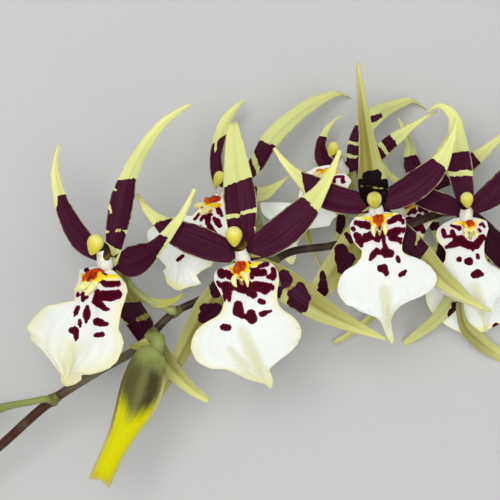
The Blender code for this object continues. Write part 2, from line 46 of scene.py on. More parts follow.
# Stem: one wiry rod with a dark brown skin, cut on the slant at its right end. It swells at each
# joint, where it is greener and a small dry scale is wrapped round it.

MM = 0.001
UP = Vector((0, 0, 1))
# Places are read on a measuring grid of GRID_STEPS by GRID_STEPS. A step is STEP long at the height
# LEVEL, the eye is VIEW_HEIGHT above that, and the middle of the grid lies at SHIFT_X, SHIFT_Y.
STEP = 0.415 * MM
GRID_STEPS = 500
GRID_MIDDLE = 250
LEVEL = 60 * MM
VIEW_HEIGHT = 600 * MM
SHIFT_X = -22.6 * MM
SHIFT_Y = 29.1 * MM
ROOM = 0.35 * MM
NODE_SWELL = 1.35
NODE_SPREAD = 1.7 * MM
STEM_RINGS = 420
STEM_AROUND = 24
FOOT_SHARES = [k / 400 for k in range(401)]
SMOOTH_ANGLE = math.radians(60)

STEM = (
    ((-78, 505, 14), 1.2), ((-45, 484, 22), 1.5), ((0, 446, 30), 2.0), ((54, 399, 36), 2.05),
    ((97, 372, 38), 1.95), ((139, 347, 40.5), 1.9), ((175, 312, 41), 1.7), ((200, 300, 40.5), 1.7),
    ((235, 283, 40), 1.7), ((262, 269, 40), 1.7), ((288, 253, 39.5), 1.7), ((330, 246, 38.5), 1.7),
    ((358, 240, 38), 1.75), ((388, 231, 36.5), 1.8), ((413, 223, 35), 1.8), ((437, 214, 33), 1.85),
    ((468, 204, 29), 1.85), ((500, 193, 24.5), 1.9), ((560, 174, 16), 1.95), ((630, 157, 6.5), 2.0),
    ((690, 147, 2.0), 2.05), ((735, 141, 1.75), 2.05),
)
BARE_NODES = (0.885,)


def step_at(height):
    """The length of one step of the measuring grid at this height above the surface."""
    return STEP * (1 + (LEVEL - height) / VIEW_HEIGHT)


def seen(x, y, height):
    """The point that shows at x, y of the measuring grid and lies at this height in millimetres."""
    step = step_at(height * MM)
    return Vector(((x - GRID_MIDDLE) * step + SHIFT_X, (GRID_MIDDLE - y) * step + SHIFT_Y, height * MM))


def on_grid(places):
    """Where places show on the measuring grid."""
    step = step_at(places[:, 2])
    x = (places[:, 0] - SHIFT_X) / step + GRID_MIDDLE
    y = GRID_MIDDLE - (places[:, 1] - SHIFT_Y) / step
    return np.stack((x, y), axis=1)


def smooth(points, marks, mark):
    """A smooth curve through the points, read at a mark between the first and the last."""
    last = len(points) - 1
    i = 0
    while i < last - 1 and mark > marks[i + 1]:
        i += 1

    def slope(k):
        if last == 1:
            return (points[1] - points[0]) / (marks[1] - marks[0])
        if k == 0:
            chord = (points[1] - points[0]) / (marks[1] - marks[0])
            return chord * 2 - slope(1)
        if k == last:
            chord = (points[last] - points[last - 1]) / (marks[last] - marks[last - 1])
            return chord * 2 - slope(last - 1)
        before = marks[k] - marks[k - 1]
        after = marks[k + 1] - marks[k]
        left = (points[k] - points[k - 1]) / before
        right = (points[k + 1] - points[k]) / after
        return (left * after + right * before) / (before + after)

    span = marks[i + 1] - marks[i]
    u = min(max((mark - marks[i]) / span, 0.0), 1.0)
    a = points[i] * (2 * u**3 - 3 * u**2 + 1)
    b = slope(i) * (span * (u**3 - 2 * u**2 + u))
    c = points[i + 1] * (3 * u**2 - 2 * u**3)
    d = slope(i + 1) * (span * (u**3 - u**2))
    return a + b + c + d


def lengths_of(points):
    """How far along a line each of its points lies."""
    marks = [0.0]
    for before, after in zip(points, points[1:]):
        marks.append(marks[-1] + (after - before).length)
    return marks


def along(points, t, marks):
    """A point at the share t of the way along a smooth curve through the points."""
    return smooth(points, marks, min(max(t, 0.0), 1.0) * marks[-1])


def frames_along(points, facing, count, middle_share=0.5, reach=0.012):
    """Even places on a curve, with sideways and outward directions that turn without twist.

    The middle one faces the way asked for, and the others are carried along from it.
    """
    marks = lengths_of(points)
    shares = [k / count for k in range(count + 1)]
    places = [along(points, t, marks) for t in shares]
    aheads = [along(points, t + reach, marks) - along(points, t - reach, marks) for t in shares]
    aheads = [ahead.normalized() for ahead in aheads]
    middle = round(count * middle_share)
    sides = [None] * (count + 1)
    sides[middle] = aheads[middle].cross(facing).normalized()
    for k in range(middle + 1, count + 1):
        sides[k] = (aheads[k - 1].rotation_difference(aheads[k]) @ sides[k - 1]).normalized()
    for k in range(middle - 1, -1, -1):
        sides[k] = (aheads[k + 1].rotation_difference(aheads[k]) @ sides[k + 1]).normalized()
    outs = [s.cross(a).normalized() for s, a in zip(sides, aheads)]
    return [np.array([tuple(v) for v in row]) for row in (places, sides, outs, aheads)]


def spots_of(piece):
    """Where the points of a mesh are, one row for each."""
    flat = np.empty(len(piece.data.vertices) * 3)
    piece.data.vertices.foreach_get("co", flat)
    return flat.reshape(-1, 3)


def jot(piece, label, numbers):
    """Notes a number at each point of a mesh, for its material to read."""
    note = piece.data.attributes.new(label, "FLOAT", "POINT")
    note.data.foreach_set("value", np.broadcast_to(numbers, len(note.data)).astype(np.float32))


def fresh_grid(name, columns, rows):
    """A flat grid, and the share of its width and of its length at each of its points."""
    bpy.ops.mesh.primitive_grid_add(x_subdivisions=columns, y_subdivisions=rows, size=1)
    piece = bpy.context.object
    piece.name = piece.data.name = name
    flat = spots_of(piece)
    return piece, flat[:, 0] + 0.5, flat[:, 1] + 0.5


def lay(piece, places, **notes):
    """Puts the points of a mesh in place and notes numbers at them."""
    piece.data.vertices.foreach_set("co", places.ravel())
    for label, numbers in notes.items():
        jot(piece, label, numbers)
    piece.data.update()


def close_up(piece):
    """Merges a seam, fills the open ends and turns the faces outwards."""
    bpy.ops.object.mode_set(mode="EDIT")
    bpy.ops.mesh.select_all(action="SELECT")
    bpy.ops.mesh.remove_doubles(threshold=1e-7)
    bpy.ops.mesh.fill_holes(sides=0)
    bpy.ops.mesh.normals_make_consistent(inside=False)
    bpy.ops.object.mode_set(mode="OBJECT")


def trim(piece, point, normal):
    """Takes off what lies on the far side of a plane, and closes the cut."""
    bpy.ops.object.mode_set(mode="EDIT")
    bpy.ops.mesh.select_all(action="SELECT")
    bpy.ops.mesh.bisect(plane_co=point, plane_no=normal, use_fill=True, clear_outer=True)
    bpy.ops.object.mode_set(mode="OBJECT")


def rod(name, points, radii, rings, around=20, facing=UP, swell=None, **notes):
    """A round rod on a smooth curve: a grid is rolled up round it, and its seam and ends closed."""
    places, sides, outs, _ = frames_along(points, facing, rings)
    marks = lengths_of(points)
    sizes = np.array([smooth(list(radii), marks, k / rings * marks[-1]) for k in range(rings + 1)])
    if swell is not None:
        sizes = sizes * swell(places)
    piece, u, v = fresh_grid(name, around, rings)
    k = np.rint(v * rings).astype(int)
    turn = u * 2 * math.pi
    ring = sides[k] * np.cos(turn)[:, None] + outs[k] * np.sin(turn)[:, None]
    lay(piece, places[k] + ring * sizes[k][:, None], along=v, across=np.cos(turn), **notes)
    close_up(piece)
    return piece


def finish_piece(piece, node):
    """Smooth shading, the piece hung under the root, and the node that it stands for hidden."""
    bpy.ops.object.select_all(action="DESELECT")
    piece.select_set(True)
    bpy.context.view_layer.objects.active = piece
    bpy.ops.object.shade_smooth_by_angle(angle=SMOOTH_ANGLE)
    piece.select_set(False)
    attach(piece, "root")
    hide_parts(node)


def joined(name, pieces):
    """Pieces that have grown together, as one."""
    bpy.ops.object.select_all(action="DESELECT")
    for piece in pieces:
        piece.select_set(True)
    bpy.context.view_layer.objects.active = pieces[0]
    bpy.ops.object.join()
    pieces[0].name = pieces[0].data.name = name
    return pieces[0]


class Wire:
    """One socket of a material; sums on it are written as plain maths."""

    def __init__(self, tree, socket=None):
        self.tree = tree
        self.socket = socket

    def plug(self, node, values):
        for key, value in values.items():
            if isinstance(value, Wire):
                self.tree.links.new(value.socket, node.inputs[key])
            else:
                node.inputs[key].default_value = value

    def node(self, kind, settings, values, output=0):
        """Any node: its kind, then its settings, then the values or wires of its sockets."""
        made = self.tree.nodes.new(kind)
        for key, value in settings.items():
            if key == "stops":
                stops = made.color_ramp.elements
                while len(stops) > 1:
                    stops.remove(stops[-1])
                stops[0].position, stops[0].color = value[0]
                for place, colour in value[1:]:
                    stops.new(place).color = colour
            else:
                setattr(made, key, value)
        self.plug(made, values)
        return Wire(self.tree, made.outputs[output])

    def maths(self, operation, *values):
        return self.node("ShaderNodeMath", {"operation": operation}, dict(enumerate(values)))

    def __add__(self, other):
        return self.maths("ADD", self, other)

    def __sub__(self, other):
        return self.maths("SUBTRACT", self, other)

    def __rsub__(self, other):
        return self.maths("SUBTRACT", other, self)

    def __mul__(self, other):
        return self.maths("MULTIPLY", self, other)

    def __truediv__(self, other):
        return self.maths("DIVIDE", self, other)

    def __rtruediv__(self, other):
        return self.maths("DIVIDE", other, self)

    def __abs__(self):
        return self.maths("ABSOLUTE", self)

    __radd__ = __add__
    __rmul__ = __mul__

    def rise(self, low, high):
        """0 below low and 1 above high, with a soft step between; it falls if low is the larger."""
        ends = {"Value": self, "From Min": min(low, high), "From Max": max(low, high)}
        ends |= {"To Min": float(low > high), "To Max": float(low < high)}
        return self.node("ShaderNodeMapRange", {"interpolation_type": "SMOOTHSTEP"}, ends)

    def blend(self, under, over):
        """The first colour where this is 0, and the second where it is 1."""
        return self.node("ShaderNodeMix", {"data_type": "RGBA"}, {0: self, 6: under, 7: over}, 2)

    def note(self, label):
        """A number noted at the points of the mesh."""
        return self.node("ShaderNodeAttribute", {"attribute_name": label}, {}, "Fac")

    def place(self):
        return self.node("ShaderNodeTexCoord", {}, {}, "Object")

    def mottle(self, scale, detail, vector=None, roughness=0.5):
        """Soft noise between about -0.5 and 0.5."""
        values = {"Vector": vector or self.place(), "Scale": scale, "Detail": detail}
        return self.node("ShaderNodeTexNoise", {}, values | {"Roughness": roughness}, "Fac") - 0.5

    def streaks(self, across, length):
        """Noise drawn out along a blade: so many streaks over its width and its length."""
        vector = self.node(
            "ShaderNodeCombineXYZ", {},
            {0: self.note("across") * across, 1: self.note("along") * length, 2: self.note("kind") * 7.0},
        )
        return self.mottle(1.0, 3.0, vector)

    def relief(self, height, depth):
        """Bumps of this depth in metres."""
        return self.node("ShaderNodeBump", {}, {"Strength": 1.0, "Distance": depth, "Height": height})


def colour(*parts):
    """An opaque colour from its red, green and blue."""
    return (*parts, 1.0)


def material(name):
    """A new material: itself, a wire to build on, and a call that sets its surface."""
    made = bpy.data.materials.new(name)
    made.use_nodes = True
    start = Wire(made.node_tree)
    shader = made.node_tree.nodes["Principled BSDF"]
    return made, start, lambda values: start.plug(shader, values)


STEM_DARK = colour(0.030, 0.012, 0.008)
STEM_MAROON = colour(0.056, 0.019, 0.010)
STEM_TAUPE = colour(0.200, 0.165, 0.105)
STEM_BROWN = colour(0.110, 0.075, 0.045)
STEM_GREEN = colour(0.120, 0.135, 0.022)
COLLAR_TAN = colour(0.230, 0.200, 0.080)

stem_skin, start, surface = material("stem_skin")
lit = start.node("ShaderNodeSeparateXYZ", {}, {0: start.place()}, 0)
patch = (start.mottle(180, 4) + 0.5).rise(0.42, 0.66)
skin = lit.rise(-0.085, -0.115).blend(STEM_DARK, STEM_MAROON)
skin = (patch * 0.5).blend(skin, STEM_BROWN)
taupe = lit.rise(-0.106, -0.090) * lit.rise(-0.062, -0.070)
skin = (taupe * (start.mottle(300, 3) + 1.0).rise(0.5, 1.0)).blend(skin, STEM_TAUPE)
joint = start.note("joint").rise(3.2, 0.8)
skin = (joint * (start.mottle(500, 3) + 1.0).rise(0.55, 1.0)).blend(skin, STEM_GREEN)
ribs = start.node(
    "ShaderNodeTexWave", {"bands_direction": "Z"},
    {"Vector": start.place(), "Scale": 260.0, "Distortion": 6.0, "Detail": 3.0},
)
surface({
    "Base Color": skin,
    "Roughness": 0.42 + start.mottle(900, 2) * 0.25,
    "Normal": start.relief(start.mottle(2600, 3) + ribs * 0.3, 0.00010),
    "Specular IOR Level": 0.22,
})

stem_line = [seen(*place) for place, _ in STEM]
stem_radii = [radius * MM for _, radius in STEM]
stem_marks = lengths_of(stem_line)


def meet_stem(point):
    """Where on the stem a stalk that comes from this point stands: its share, and its foot."""
    share = min(FOOT_SHARES, key=lambda t: (along(stem_line, t, stem_marks) - point).length)
    middle = along(stem_line, share, stem_marks)
    radius = smooth(stem_radii, stem_marks, share * stem_marks[-1])
    return share, middle + (point - middle).normalized() * (radius * NODE_SWELL + ROOM)


# Pedicels: each bloom hangs on a round green stalk that leaves the stem at a joint. The front one
# has a pointed scale at its foot.

BLOOM_CENTRES = {
    "bloom1": ((113, 262, 58), (-0.42, -0.12, 0.9)),
    "bloom2": ((243, 257, 62), (0, 0, 1)),
    "bloom3": ((376, 207, 60), (0, 0, 1)),
    "bloom4": ((468, 212, 42), (0, 0, 1)),
    "bloom5": ((240, 190, 26), (-0.6, -0.1, 0.8)),
    "bloom6": ((352, 167, 22), (-0.6, -0.1, 0.8)),
    "bloom7": ((427, 192, 20), (-0.6, -0.1, 0.8)),
    "bloom8": ((470, 250, 20), (-0.1, 0.1, -1.0)),
}
PEDICELS = {
    "bloom1": ((122, 268, 53), (132, 288, 49), (149, 301, 47), (165, 307, 47), (173, 311, 45)),
    "bloom2": ((246, 260, 55), (255, 265, 50), (260, 268, 46)),
    "bloom3": ((373, 213, 54), (368, 226, 48), (366, 235, 43)),
    "bloom4": ((467.5, 209.5, 35.3),),
    "bloom5": ((252, 202, 17.5), (258, 222, 19), (261, 240, 26), (265, 255, 34)),
    "bloom6": ((362, 180, 17), (365, 200, 20), (357, 222, 28), (347, 235, 34)),
    "bloom7": ((437, 194, 15), (444, 202, 20), (442, 209, 26)),
    "bloom8": ((471, 247, 26.5), (474, 234, 30), (477, 219, 30)),
}
BOSS_RADIUS = 2.3 * MM
STUB = 1.7 * MM
PEDICEL_RADIUS = 1.7 * MM
PEDICEL_ROOT = 1.2 * MM
PEDICEL_TOP = 1.05
PEDICEL_RINGS = 60
PEDICEL_FACING = Vector((0.3, 0.9, 0.2))
PEDICEL_BRACT = (9, ((148, 300, 47.3), (160, 303.5, 49), (172, 301, 51), (183, 294, 52)))
BRACT_SHAPE = ((0, 0.8), (0.3, 1.0), (0.7, 0.62), (1.0, 0.2))
BRACT_CUP = 0.3
BRACT_GRID = (24, 12)
BLADE_MIDDLE = 0.45
BLADE_REACH = 0.03
CUP_POWER = 1.6
CUP_BASE = 0.3
WAVE_TURNS = 13.0
RIPPLE_SHARE = 0.3
RIPPLE_TURNS = 37.0
KEEL_SPREAD = 0.24
NOTCH_START = 0.9
UNMARKED = 9.0
EDGE_SHARE = 0.45
EDGE_FADE = 1.6 * MM
LEAST_HEIGHT = 0.45 * MM
PEDICEL_DEEP = colour(0.085, 0.110, 0.014)
PEDICEL_LIGHT = colour(0.340, 0.370, 0.120)
BRACT_YELLOW = colour(0.480, 0.460, 0.055)
BRACT_CREAM = colour(0.520, 0.500, 0.170)

pedicel_skin, start, surface = material("pedicel_skin")
patch = (start.note("along") + start.mottle(350, 3) * 0.9 + start.note("across") * 0.15).rise(0.05, 0.75)
skin = patch.blend(PEDICEL_DEEP, PEDICEL_LIGHT)
surface({
    "Base Color": skin,
    "Roughness": 0.40 + start.mottle(1200, 2) * 0.2,
    "Normal": start.relief(start.mottle(3200, 3) + start.streaks(5.0, 1.5), 0.00008),
    "Specular IOR Level": 0.45,
})

bract_skin, start, surface = material("bract_skin")
patch = (start.streaks(7.0, 1.2) + start.note("along") * 0.5).rise(-0.1, 0.55)
surface({
    "Base Color": patch.blend(BRACT_CREAM, BRACT_YELLOW),
    "Roughness": 0.5 + start.mottle(1500, 2) * 0.2,
    "Normal": start.relief(start.streaks(16.0, 1.0), 0.00012),
})


def profile(shape, t):
    """A width read off a short list of (share of the length, width)."""
    return max(smooth([w for _, w in shape], [m for m, _ in shape], t), 0.0)


def thicken(piece, thickness):
    """Gives a blade its thickness, which thins out towards the edge."""
    rims = np.empty(len(piece.data.vertices), np.float32)
    piece.data.attributes["rim"].data.foreach_get("value", rims)
    weight = EDGE_SHARE + (1 - EDGE_SHARE) * np.clip(rims * MM / EDGE_FADE, 0, 1)
    group = piece.vertex_groups.new(name="thickness")
    for index, amount in enumerate(weight):
        group.add([index], float(amount), "REPLACE")
    wall = piece.modifiers.new("wall", "SOLIDIFY")
    wall.thickness = thickness
    wall.offset = 0.0
    wall.vertex_group = "thickness"
    bpy.context.view_layer.objects.active = piece
    bpy.ops.object.modifier_apply(modifier="wall")
    piece.vertex_groups.clear()


def hold_above(places):
    """Keeps a blade from dipping into the surface it lies on."""
    places[:, 2] = np.maximum(places[:, 2], LEAST_HEIGHT)
    return places


def blade(name, line, facing, width, shape, cup, wave, rows, columns, skin, kind, keel=0.15 * MM,
          mark=None, tone=0.0, deep=0.0, thickness=0.62 * MM, notch=0.0):
    """A pointed blade along a line, channelled along its middle and lightly waved at its edges.

    Its width is in grid steps. Its tip is cut in by notch, and mark gives its dark patches.
    """
    here, side, out, ahead = frames_along(line, facing, rows, BLADE_MIDDLE, BLADE_REACH)
    half = np.array([0.5 * width * step_at(z) * profile(shape, k / rows) for k, z in enumerate(here[:, 2])])
    piece, u, t = fresh_grid(name, columns, rows)
    s = u * 2 - 1
    k = np.rint(t * rows).astype(int)
    wide = half[k]
    lift = cup * wide * (np.abs(s) ** CUP_POWER - CUP_BASE)
    ripple = wave * s * s * np.sin(t * WAVE_TURNS + s * 1.7 + kind) * np.sin(np.pi * t)
    fine = np.sin(t * RIPPLE_TURNS + kind * 3 + np.sign(s))
    ripple += RIPPLE_SHARE * wave * np.abs(s) ** 3 * fine * np.sin(np.pi * t)
    crease = -keel * np.exp(-((s / KEEL_SPREAD) ** 2)) * np.sin(np.pi * np.clip(t, 0, 1)) ** 0.5
    places = here[k] + side[k] * (s * wide)[:, None] + out[k] * (lift + ripple + crease)[:, None]
    places += ahead[k] * (notch * (np.abs(s) - 0.5) * np.clip((t - NOTCH_START) * 10, 0, 1))[:, None]
    long = lengths_of(line)[-1]
    rim = np.minimum((1 - np.abs(s)) * wide, (1 - t) * long) / MM
    darkness = np.full(len(t), UNMARKED) if mark is None else mark(on_grid(places), t, rim)
    lay(piece, hold_above(places), along=t, across=s, rim=rim, mark=darkness, kind=kind, tone=tone,
        deep=deep)
    thicken(piece, thickness)
    piece.data.materials.append(skin)
    return piece


def bract(form, kind):
    """The small pointed scale at the foot of a stalk."""
    width, places = form
    return blade("scale", [seen(*p) for p in places], UP, width, BRACT_SHAPE, BRACT_CUP, 0.0, *BRACT_GRID,
                 bract_skin, kind)


node_shares = []
for bloom, points in PEDICELS.items():
    centre = seen(*BLOOM_CENTRES[bloom][0])
    facing = Vector(BLOOM_CENTRES[bloom][1]).normalized()
    back = centre - facing * (BOSS_RADIUS + ROOM)
    line = [back, back - facing * STUB] + [seen(*p) for p in points]
    share, foot = meet_stem(line[-1])
    node_shares.append(share)
    line.append(foot)
    radii = [PEDICEL_RADIUS * PEDICEL_TOP] * (len(line) - 1) + [PEDICEL_ROOT]
    stalk = rod(bloom + "_stalk", line, radii, PEDICEL_RINGS, facing=PEDICEL_FACING, kind=float(bloom[-1]))
    stalk.data.materials.append(pedicel_skin)
    if bloom == "bloom1":
        stalk = joined(bloom + "_stalk", [stalk, bract(PEDICEL_BRACT, 3.0)])
    finish_piece(stalk, bloom + "_pedicel")


# Buds: long pointed buds at the end of the stem. The first is opening: one sepal has lifted away,
# grey-green above and clear yellow towards its notched tip, with pale margins.

BUDS = {
    "bud1": (((150, 337, 50), (158, 340, 54), (155, 352, 53.5), (147, 372, 51), (137, 398, 50),
              (122, 430, 49), (109, 458, 48), (103, 472, 48)),
             (2.3, 3.0, 3.4, 5.6, 5.4, 3.8, 2.6, 1.6)),
    "bud2": (((46, 399, 42.5), (30, 402, 42.5), (8, 406, 37), (-6, 410, 32), (-25, 413, 28),
              (-50, 418, 22), (-84, 424, 15)),
             (1.5, 1.5, 1.7, 2.4, 4.4, 4.0, 1.0)),
    "bud3": (((-20, 485, 16), (-22, 496, 11), (-26, 508, 7), (-31, 525, 3.8), (-40, 552, 4.5)),
             (1.3, 2.0, 3.4, 4.0, 0.9)),
    "bud4": (((-70, 474, 15), (-80, 468, 11), (-92, 463, 6), (-108, 458, 3.4), (-136, 452, 4)),
             (1.2, 1.8, 3.0, 3.6, 0.8)),
}
BUD_SEPAL = (44, ((154, 349, 57), (148, 364, 57.5), (143, 383, 57.5), (136, 404, 56.5), (124, 430, 55),
                  (112, 454, 53), (99.5, 482, 50)))
BUD_BRACT = (11, ((154, 341, 52), (146, 344, 51.5), (138, 346, 49.5), (130, 347, 46.8)))
BUD_SEPAL_SHAPE = (
    (0, 0.34), (0.06, 0.50), (0.15, 0.78), (0.29, 0.97), (0.40, 0.94), (0.52, 0.80), (0.63, 0.65),
    (0.78, 0.55), (0.92, 0.53), (1.0, 0.52),
)
BUD_SEPAL_FORM = {"cup": -0.45, "wave": 0.3 * MM, "rows": 90, "columns": 36, "kind": 6.0, "keel": 0.5 * MM,
                  "notch": 2.4 * MM, "thickness": 0.8 * MM}
BUD_FOOT = 1.5 * MM
BUD_RINGS = 110
BUD_AROUND = 32
LYING_HEIGHT = 5
BUD_OLIVE = colour(0.260, 0.300, 0.080)
BUD_GREY = colour(0.150, 0.150, 0.042)
BUD_DARK = colour(0.040, 0.034, 0.010)
BUD_BROWN = colour(0.150, 0.105, 0.040)
BUD_YELLOW = colour(0.700, 0.660, 0.0)
BUD_LIME = colour(0.470, 0.500, 0.012)
BUD_AMBER = colour(0.640, 0.480, 0.010)
BUD_MARGIN = colour(0.560, 0.510, 0.200)

opening_skin, start, surface = material("opening_sepal_skin")
length = start.note("along")
width = start.note("across")
face = (length + start.mottle(160, 2) * 0.25).rise(0.08, 0.22).blend(BUD_OLIVE, BUD_GREY)
# Painted shade: two dark bands down either side of the lighter middle of the cupped sepal
painted_shade = abs(width + 0.45).rise(0.42, 0.10) + abs(width - 0.5).rise(0.45, 0.15) * 0.5
painted_shade = painted_shade * length.rise(0.12, 0.24)
face = (painted_shade * (start.mottle(200, 3) + 1.0).rise(0.45, 1.0) * 0.9).blend(face, BUD_DARK)
ripe = (length + abs(width - 0.05) * 0.14 + start.streaks(6.0, 1.2) * 0.12).rise(0.44, 0.62)
gold = ((start.streaks(5.0, 1.4) + 0.5).rise(0.40, 0.85) * 0.55).blend(BUD_YELLOW, BUD_LIME)
gold = ((length + start.mottle(300, 3) * 0.3).rise(0.86, 1.02) * 0.7).blend(gold, BUD_AMBER)
face = ripe.blend(face, gold)
pale_edge = (start.note("rim") + start.mottle(500, 2) * 0.8).rise(2.0, 0.6)
brown_edge = width.rise(0.2, 0.8) * length.rise(0.80, 0.45)
edge_tint = brown_edge.blend(BUD_MARGIN, BUD_BROWN)
face = (pale_edge * length.rise(0.16, 0.30) * 0.9).blend(face, edge_tint)
face = (start.streaks(22.0, 0.8).rise(0.08, 0.3) * 0.22 * length.rise(0.60, 0.45)).blend(face, BUD_DARK)
surface({
    "Base Color": face,
    "Roughness": 0.46 + start.mottle(900, 2) * 0.2,
    "Normal": start.relief(start.streaks(20.0, 0.8) + start.mottle(2800, 2) * 0.3, 0.00016),
    "Specular IOR Level": 0.08,
})

bud_skin, start, surface = material("bud_skin")
length = start.note("along")
face = (length + start.mottle(240, 3) * 0.5).rise(0.35, 0.85).blend(BUD_OLIVE, BUD_YELLOW)
face = (start.streaks(4.0, 1.2).rise(0.0, 0.3) * 0.6).blend(face, BUD_GREY)
surface({
    "Base Color": face,
    "Roughness": 0.42 + start.mottle(900, 2) * 0.2,
    "Normal": start.relief(start.streaks(9.0, 0.8) + start.mottle(2800, 2) * 0.3, 0.00012),
    "Specular IOR Level": 0.25,
})

for bud, (points, radii) in BUDS.items():
    line = [seen(*p) for p in points]
    share, foot = meet_stem(line[0])
    node_shares.append(share)
    sizes = [BUD_FOOT] + [r * MM for r in radii]
    body = rod(bud + "_body", [foot] + line, sizes, BUD_RINGS, BUD_AROUND, kind=float(bud[-1]))
    if min(place[2] for place in points) < LYING_HEIGHT:
        trim(body, (0, 0, 0), -UP)
    body.data.materials.append(bud_skin)
    pieces = [body]
    if bud == "bud1":
        pieces.append(bract(BUD_BRACT, 5.0))
        width, places = BUD_SEPAL
        path = [line[2]] + [seen(*p) for p in places]
        pieces.append(blade("opening", path, UP, width, BUD_SEPAL_SHAPE, skin=opening_skin, **BUD_SEPAL_FORM))
    finish_piece(joined(bud + "_skin", pieces), bud)


# The stem itself, once every joint on it is known: one rod, cut on the slant at its right end and
# trimmed flat where it touches the surface, with a dry collar wrapped round it above each joint.

CUT_PLACE = (731, 141.5, 1.75)
CUT_ANGLE = math.radians(-38)
COLLAR_LENGTH = 3.6 * MM
COLLAR_PLACES = (-0.35, 0.0, 0.5, 1.0)
COLLAR_SWELL = (1.08, 1.42, 1.22, 1.06)
COLLAR_RINGS = 20
COLLAR_AROUND = 28

joint_shares = node_shares + list(BARE_NODES)
joints = [np.array(along(stem_line, share, stem_marks)) for share in joint_shares]


def from_joints(places):
    """How far places are from the nearest joint."""
    return np.min([np.linalg.norm(places - joint, axis=1) for joint in joints], axis=0)


def joint_swell(places):
    """How much the stem is swollen at places on its middle line."""
    return 1 + (NODE_SWELL - 1) * np.exp(-((from_joints(places) / NODE_SPREAD) ** 2))


stem = rod("stem_rod", stem_line, stem_radii, STEM_RINGS, STEM_AROUND, swell=joint_swell)
jot(stem, "joint", from_joints(spots_of(stem)) / MM)
trim(stem, seen(*CUT_PLACE), (math.cos(CUT_ANGLE), math.sin(CUT_ANGLE), 0))
trim(stem, (0, 0, 0), -UP)
stem.data.materials.append(stem_skin)

collar_skin, start, surface = material("collar_skin")
dry = (start.streaks(9.0, 0.8) + start.mottle(500, 3)).rise(-0.2, 0.3)
surface({
    "Base Color": dry.blend(STEM_GREEN, COLLAR_TAN),
    "Roughness": 0.55 + start.mottle(1200, 2) * 0.2,
    "Normal": start.relief(start.streaks(24.0, 0.6), 0.00012),
    "Specular IOR Level": 0.25,
})
collars = []
for share in sorted(joint_shares):
    reach = COLLAR_LENGTH / stem_marks[-1]
    shares = [share + reach * step for step in COLLAR_PLACES]
    size = smooth(stem_radii, stem_marks, share * stem_marks[-1])
    collar = rod("collar", [along(stem_line, t, stem_marks) for t in shares],
                 [size * swell for swell in COLLAR_SWELL], COLLAR_RINGS, COLLAR_AROUND,
                 kind=float(len(collars)))
    collar.data.materials.append(collar_skin)
    collars.append(collar)
finish_piece(joined("stem_rod", [stem] + collars), "stem")


# Sepals and petals: three sepals and two petals grow out of a small green boss. They are waxy and
# yellow-green towards their tips, and the rest is covered in dark purple patches.

SEPAL_SHAPE = ((0, 0.36), (0.16, 0.80), (0.33, 1.0), (0.5, 0.84), (0.68, 0.58), (0.85, 0.32), (1.0, 0.12))
SLIM_SEPAL = ((0, 0.36), (0.16, 0.80), (0.31, 1.0), (0.41, 0.97), (0.53, 0.82), (0.65, 0.68), (0.76, 0.50),
              (0.87, 0.27), (1.0, 0.09))
BROAD_SEPAL = (
    (0, 0.36), (0.12, 0.72), (0.25, 0.90), (0.45, 1.0), (0.60, 0.96), (0.72, 0.85), (0.86, 0.60),
    (1.0, 0.18),
)
TAPERED_STRAP = ((0, 0.36), (0.16, 0.90), (0.36, 1.0), (0.60, 0.66), (0.85, 0.46), (1.0, 0.30))
SICKLE = (
    (0, 0.40), (0.12, 0.76), (0.24, 0.97), (0.32, 1.0), (0.40, 0.86), (0.48, 0.71), (0.56, 0.62),
    (0.63, 0.55), (0.75, 0.42), (0.88, 0.27), (1.0, 0.12),
)
SPEAR_SHAPE = ((0, 0.5), (0.08, 0.9), (0.16, 1.0), (0.28, 0.80), (0.45, 0.55), (0.7, 0.34), (1.0, 0.10))
STRAP_SHAPE = ((0, 0.5), (0.2, 0.92), (0.42, 1.0), (0.62, 0.80), (0.82, 0.45), (1.0, 0.16))
PETAL_SHAPE = ((0, 0.34), (0.15, 0.80), (0.34, 1.0), (0.52, 0.84), (0.68, 0.46), (0.85, 0.24), (1.0, 0.12))
FRONT_PETAL = ((0, 0.34), (0.15, 0.80), (0.34, 1.0), (0.52, 0.84), (0.68, 0.52), (0.85, 0.32), (1.0, 0.14))
NARROW_PETAL = (
    (0, 0.34), (0.08, 0.66), (0.14, 0.94), (0.20, 1.0), (0.27, 0.93), (0.40, 0.61), (0.51, 0.46),
    (0.63, 0.34), (0.74, 0.25), (0.84, 0.20), (0.93, 0.16), (1.0, 0.13),
)
BROAD_TIP = (
    (0, 0.34), (0.15, 0.80), (0.34, 1.0), (0.52, 0.95), (0.68, 0.86), (0.80, 0.74), (0.93, 0.38),
    (1.0, 0.12),
)
BLUNT_STRAP = (
    (0, 0.36), (0.16, 0.80), (0.33, 1.0), (0.52, 0.92), (0.66, 0.78), (0.80, 0.56), (0.92, 0.38),
    (1.0, 0.20),
)
LONG_STRAP = ((0, 0.36), (0.16, 0.80), (0.33, 1.0), (0.50, 0.82), (0.68, 0.60), (0.85, 0.50), (1.0, 0.34))
FLARED_STRAP = ((0, 0.30), (0.30, 0.42), (0.48, 0.66), (0.62, 1.0), (0.85, 0.92), (1.0, 0.60))
ROOT_REACH = 4.5 * MM
CHANNEL = 0.28
CORNER = 4.0
CORNER_INSET = 1.5
PETAL_WAVE = 0.5 * MM
SEPAL_WAVE = 0.25 * MM
BLADE_GRID = (84, 26)
REAR_BLADE = (60, 18)
PLAIN_END = 0.50
PLAIN_BARS = (0.24, 0.37)
BAR_HALF = 2.2
NO_PATCH = 30.0
MARK_LIMIT = 12.0
REAR_BLOOMS = ("bloom7", "bloom8")
SHADED_BLOOMS = ("bloom5", "bloom6", "bloom7", "bloom8")

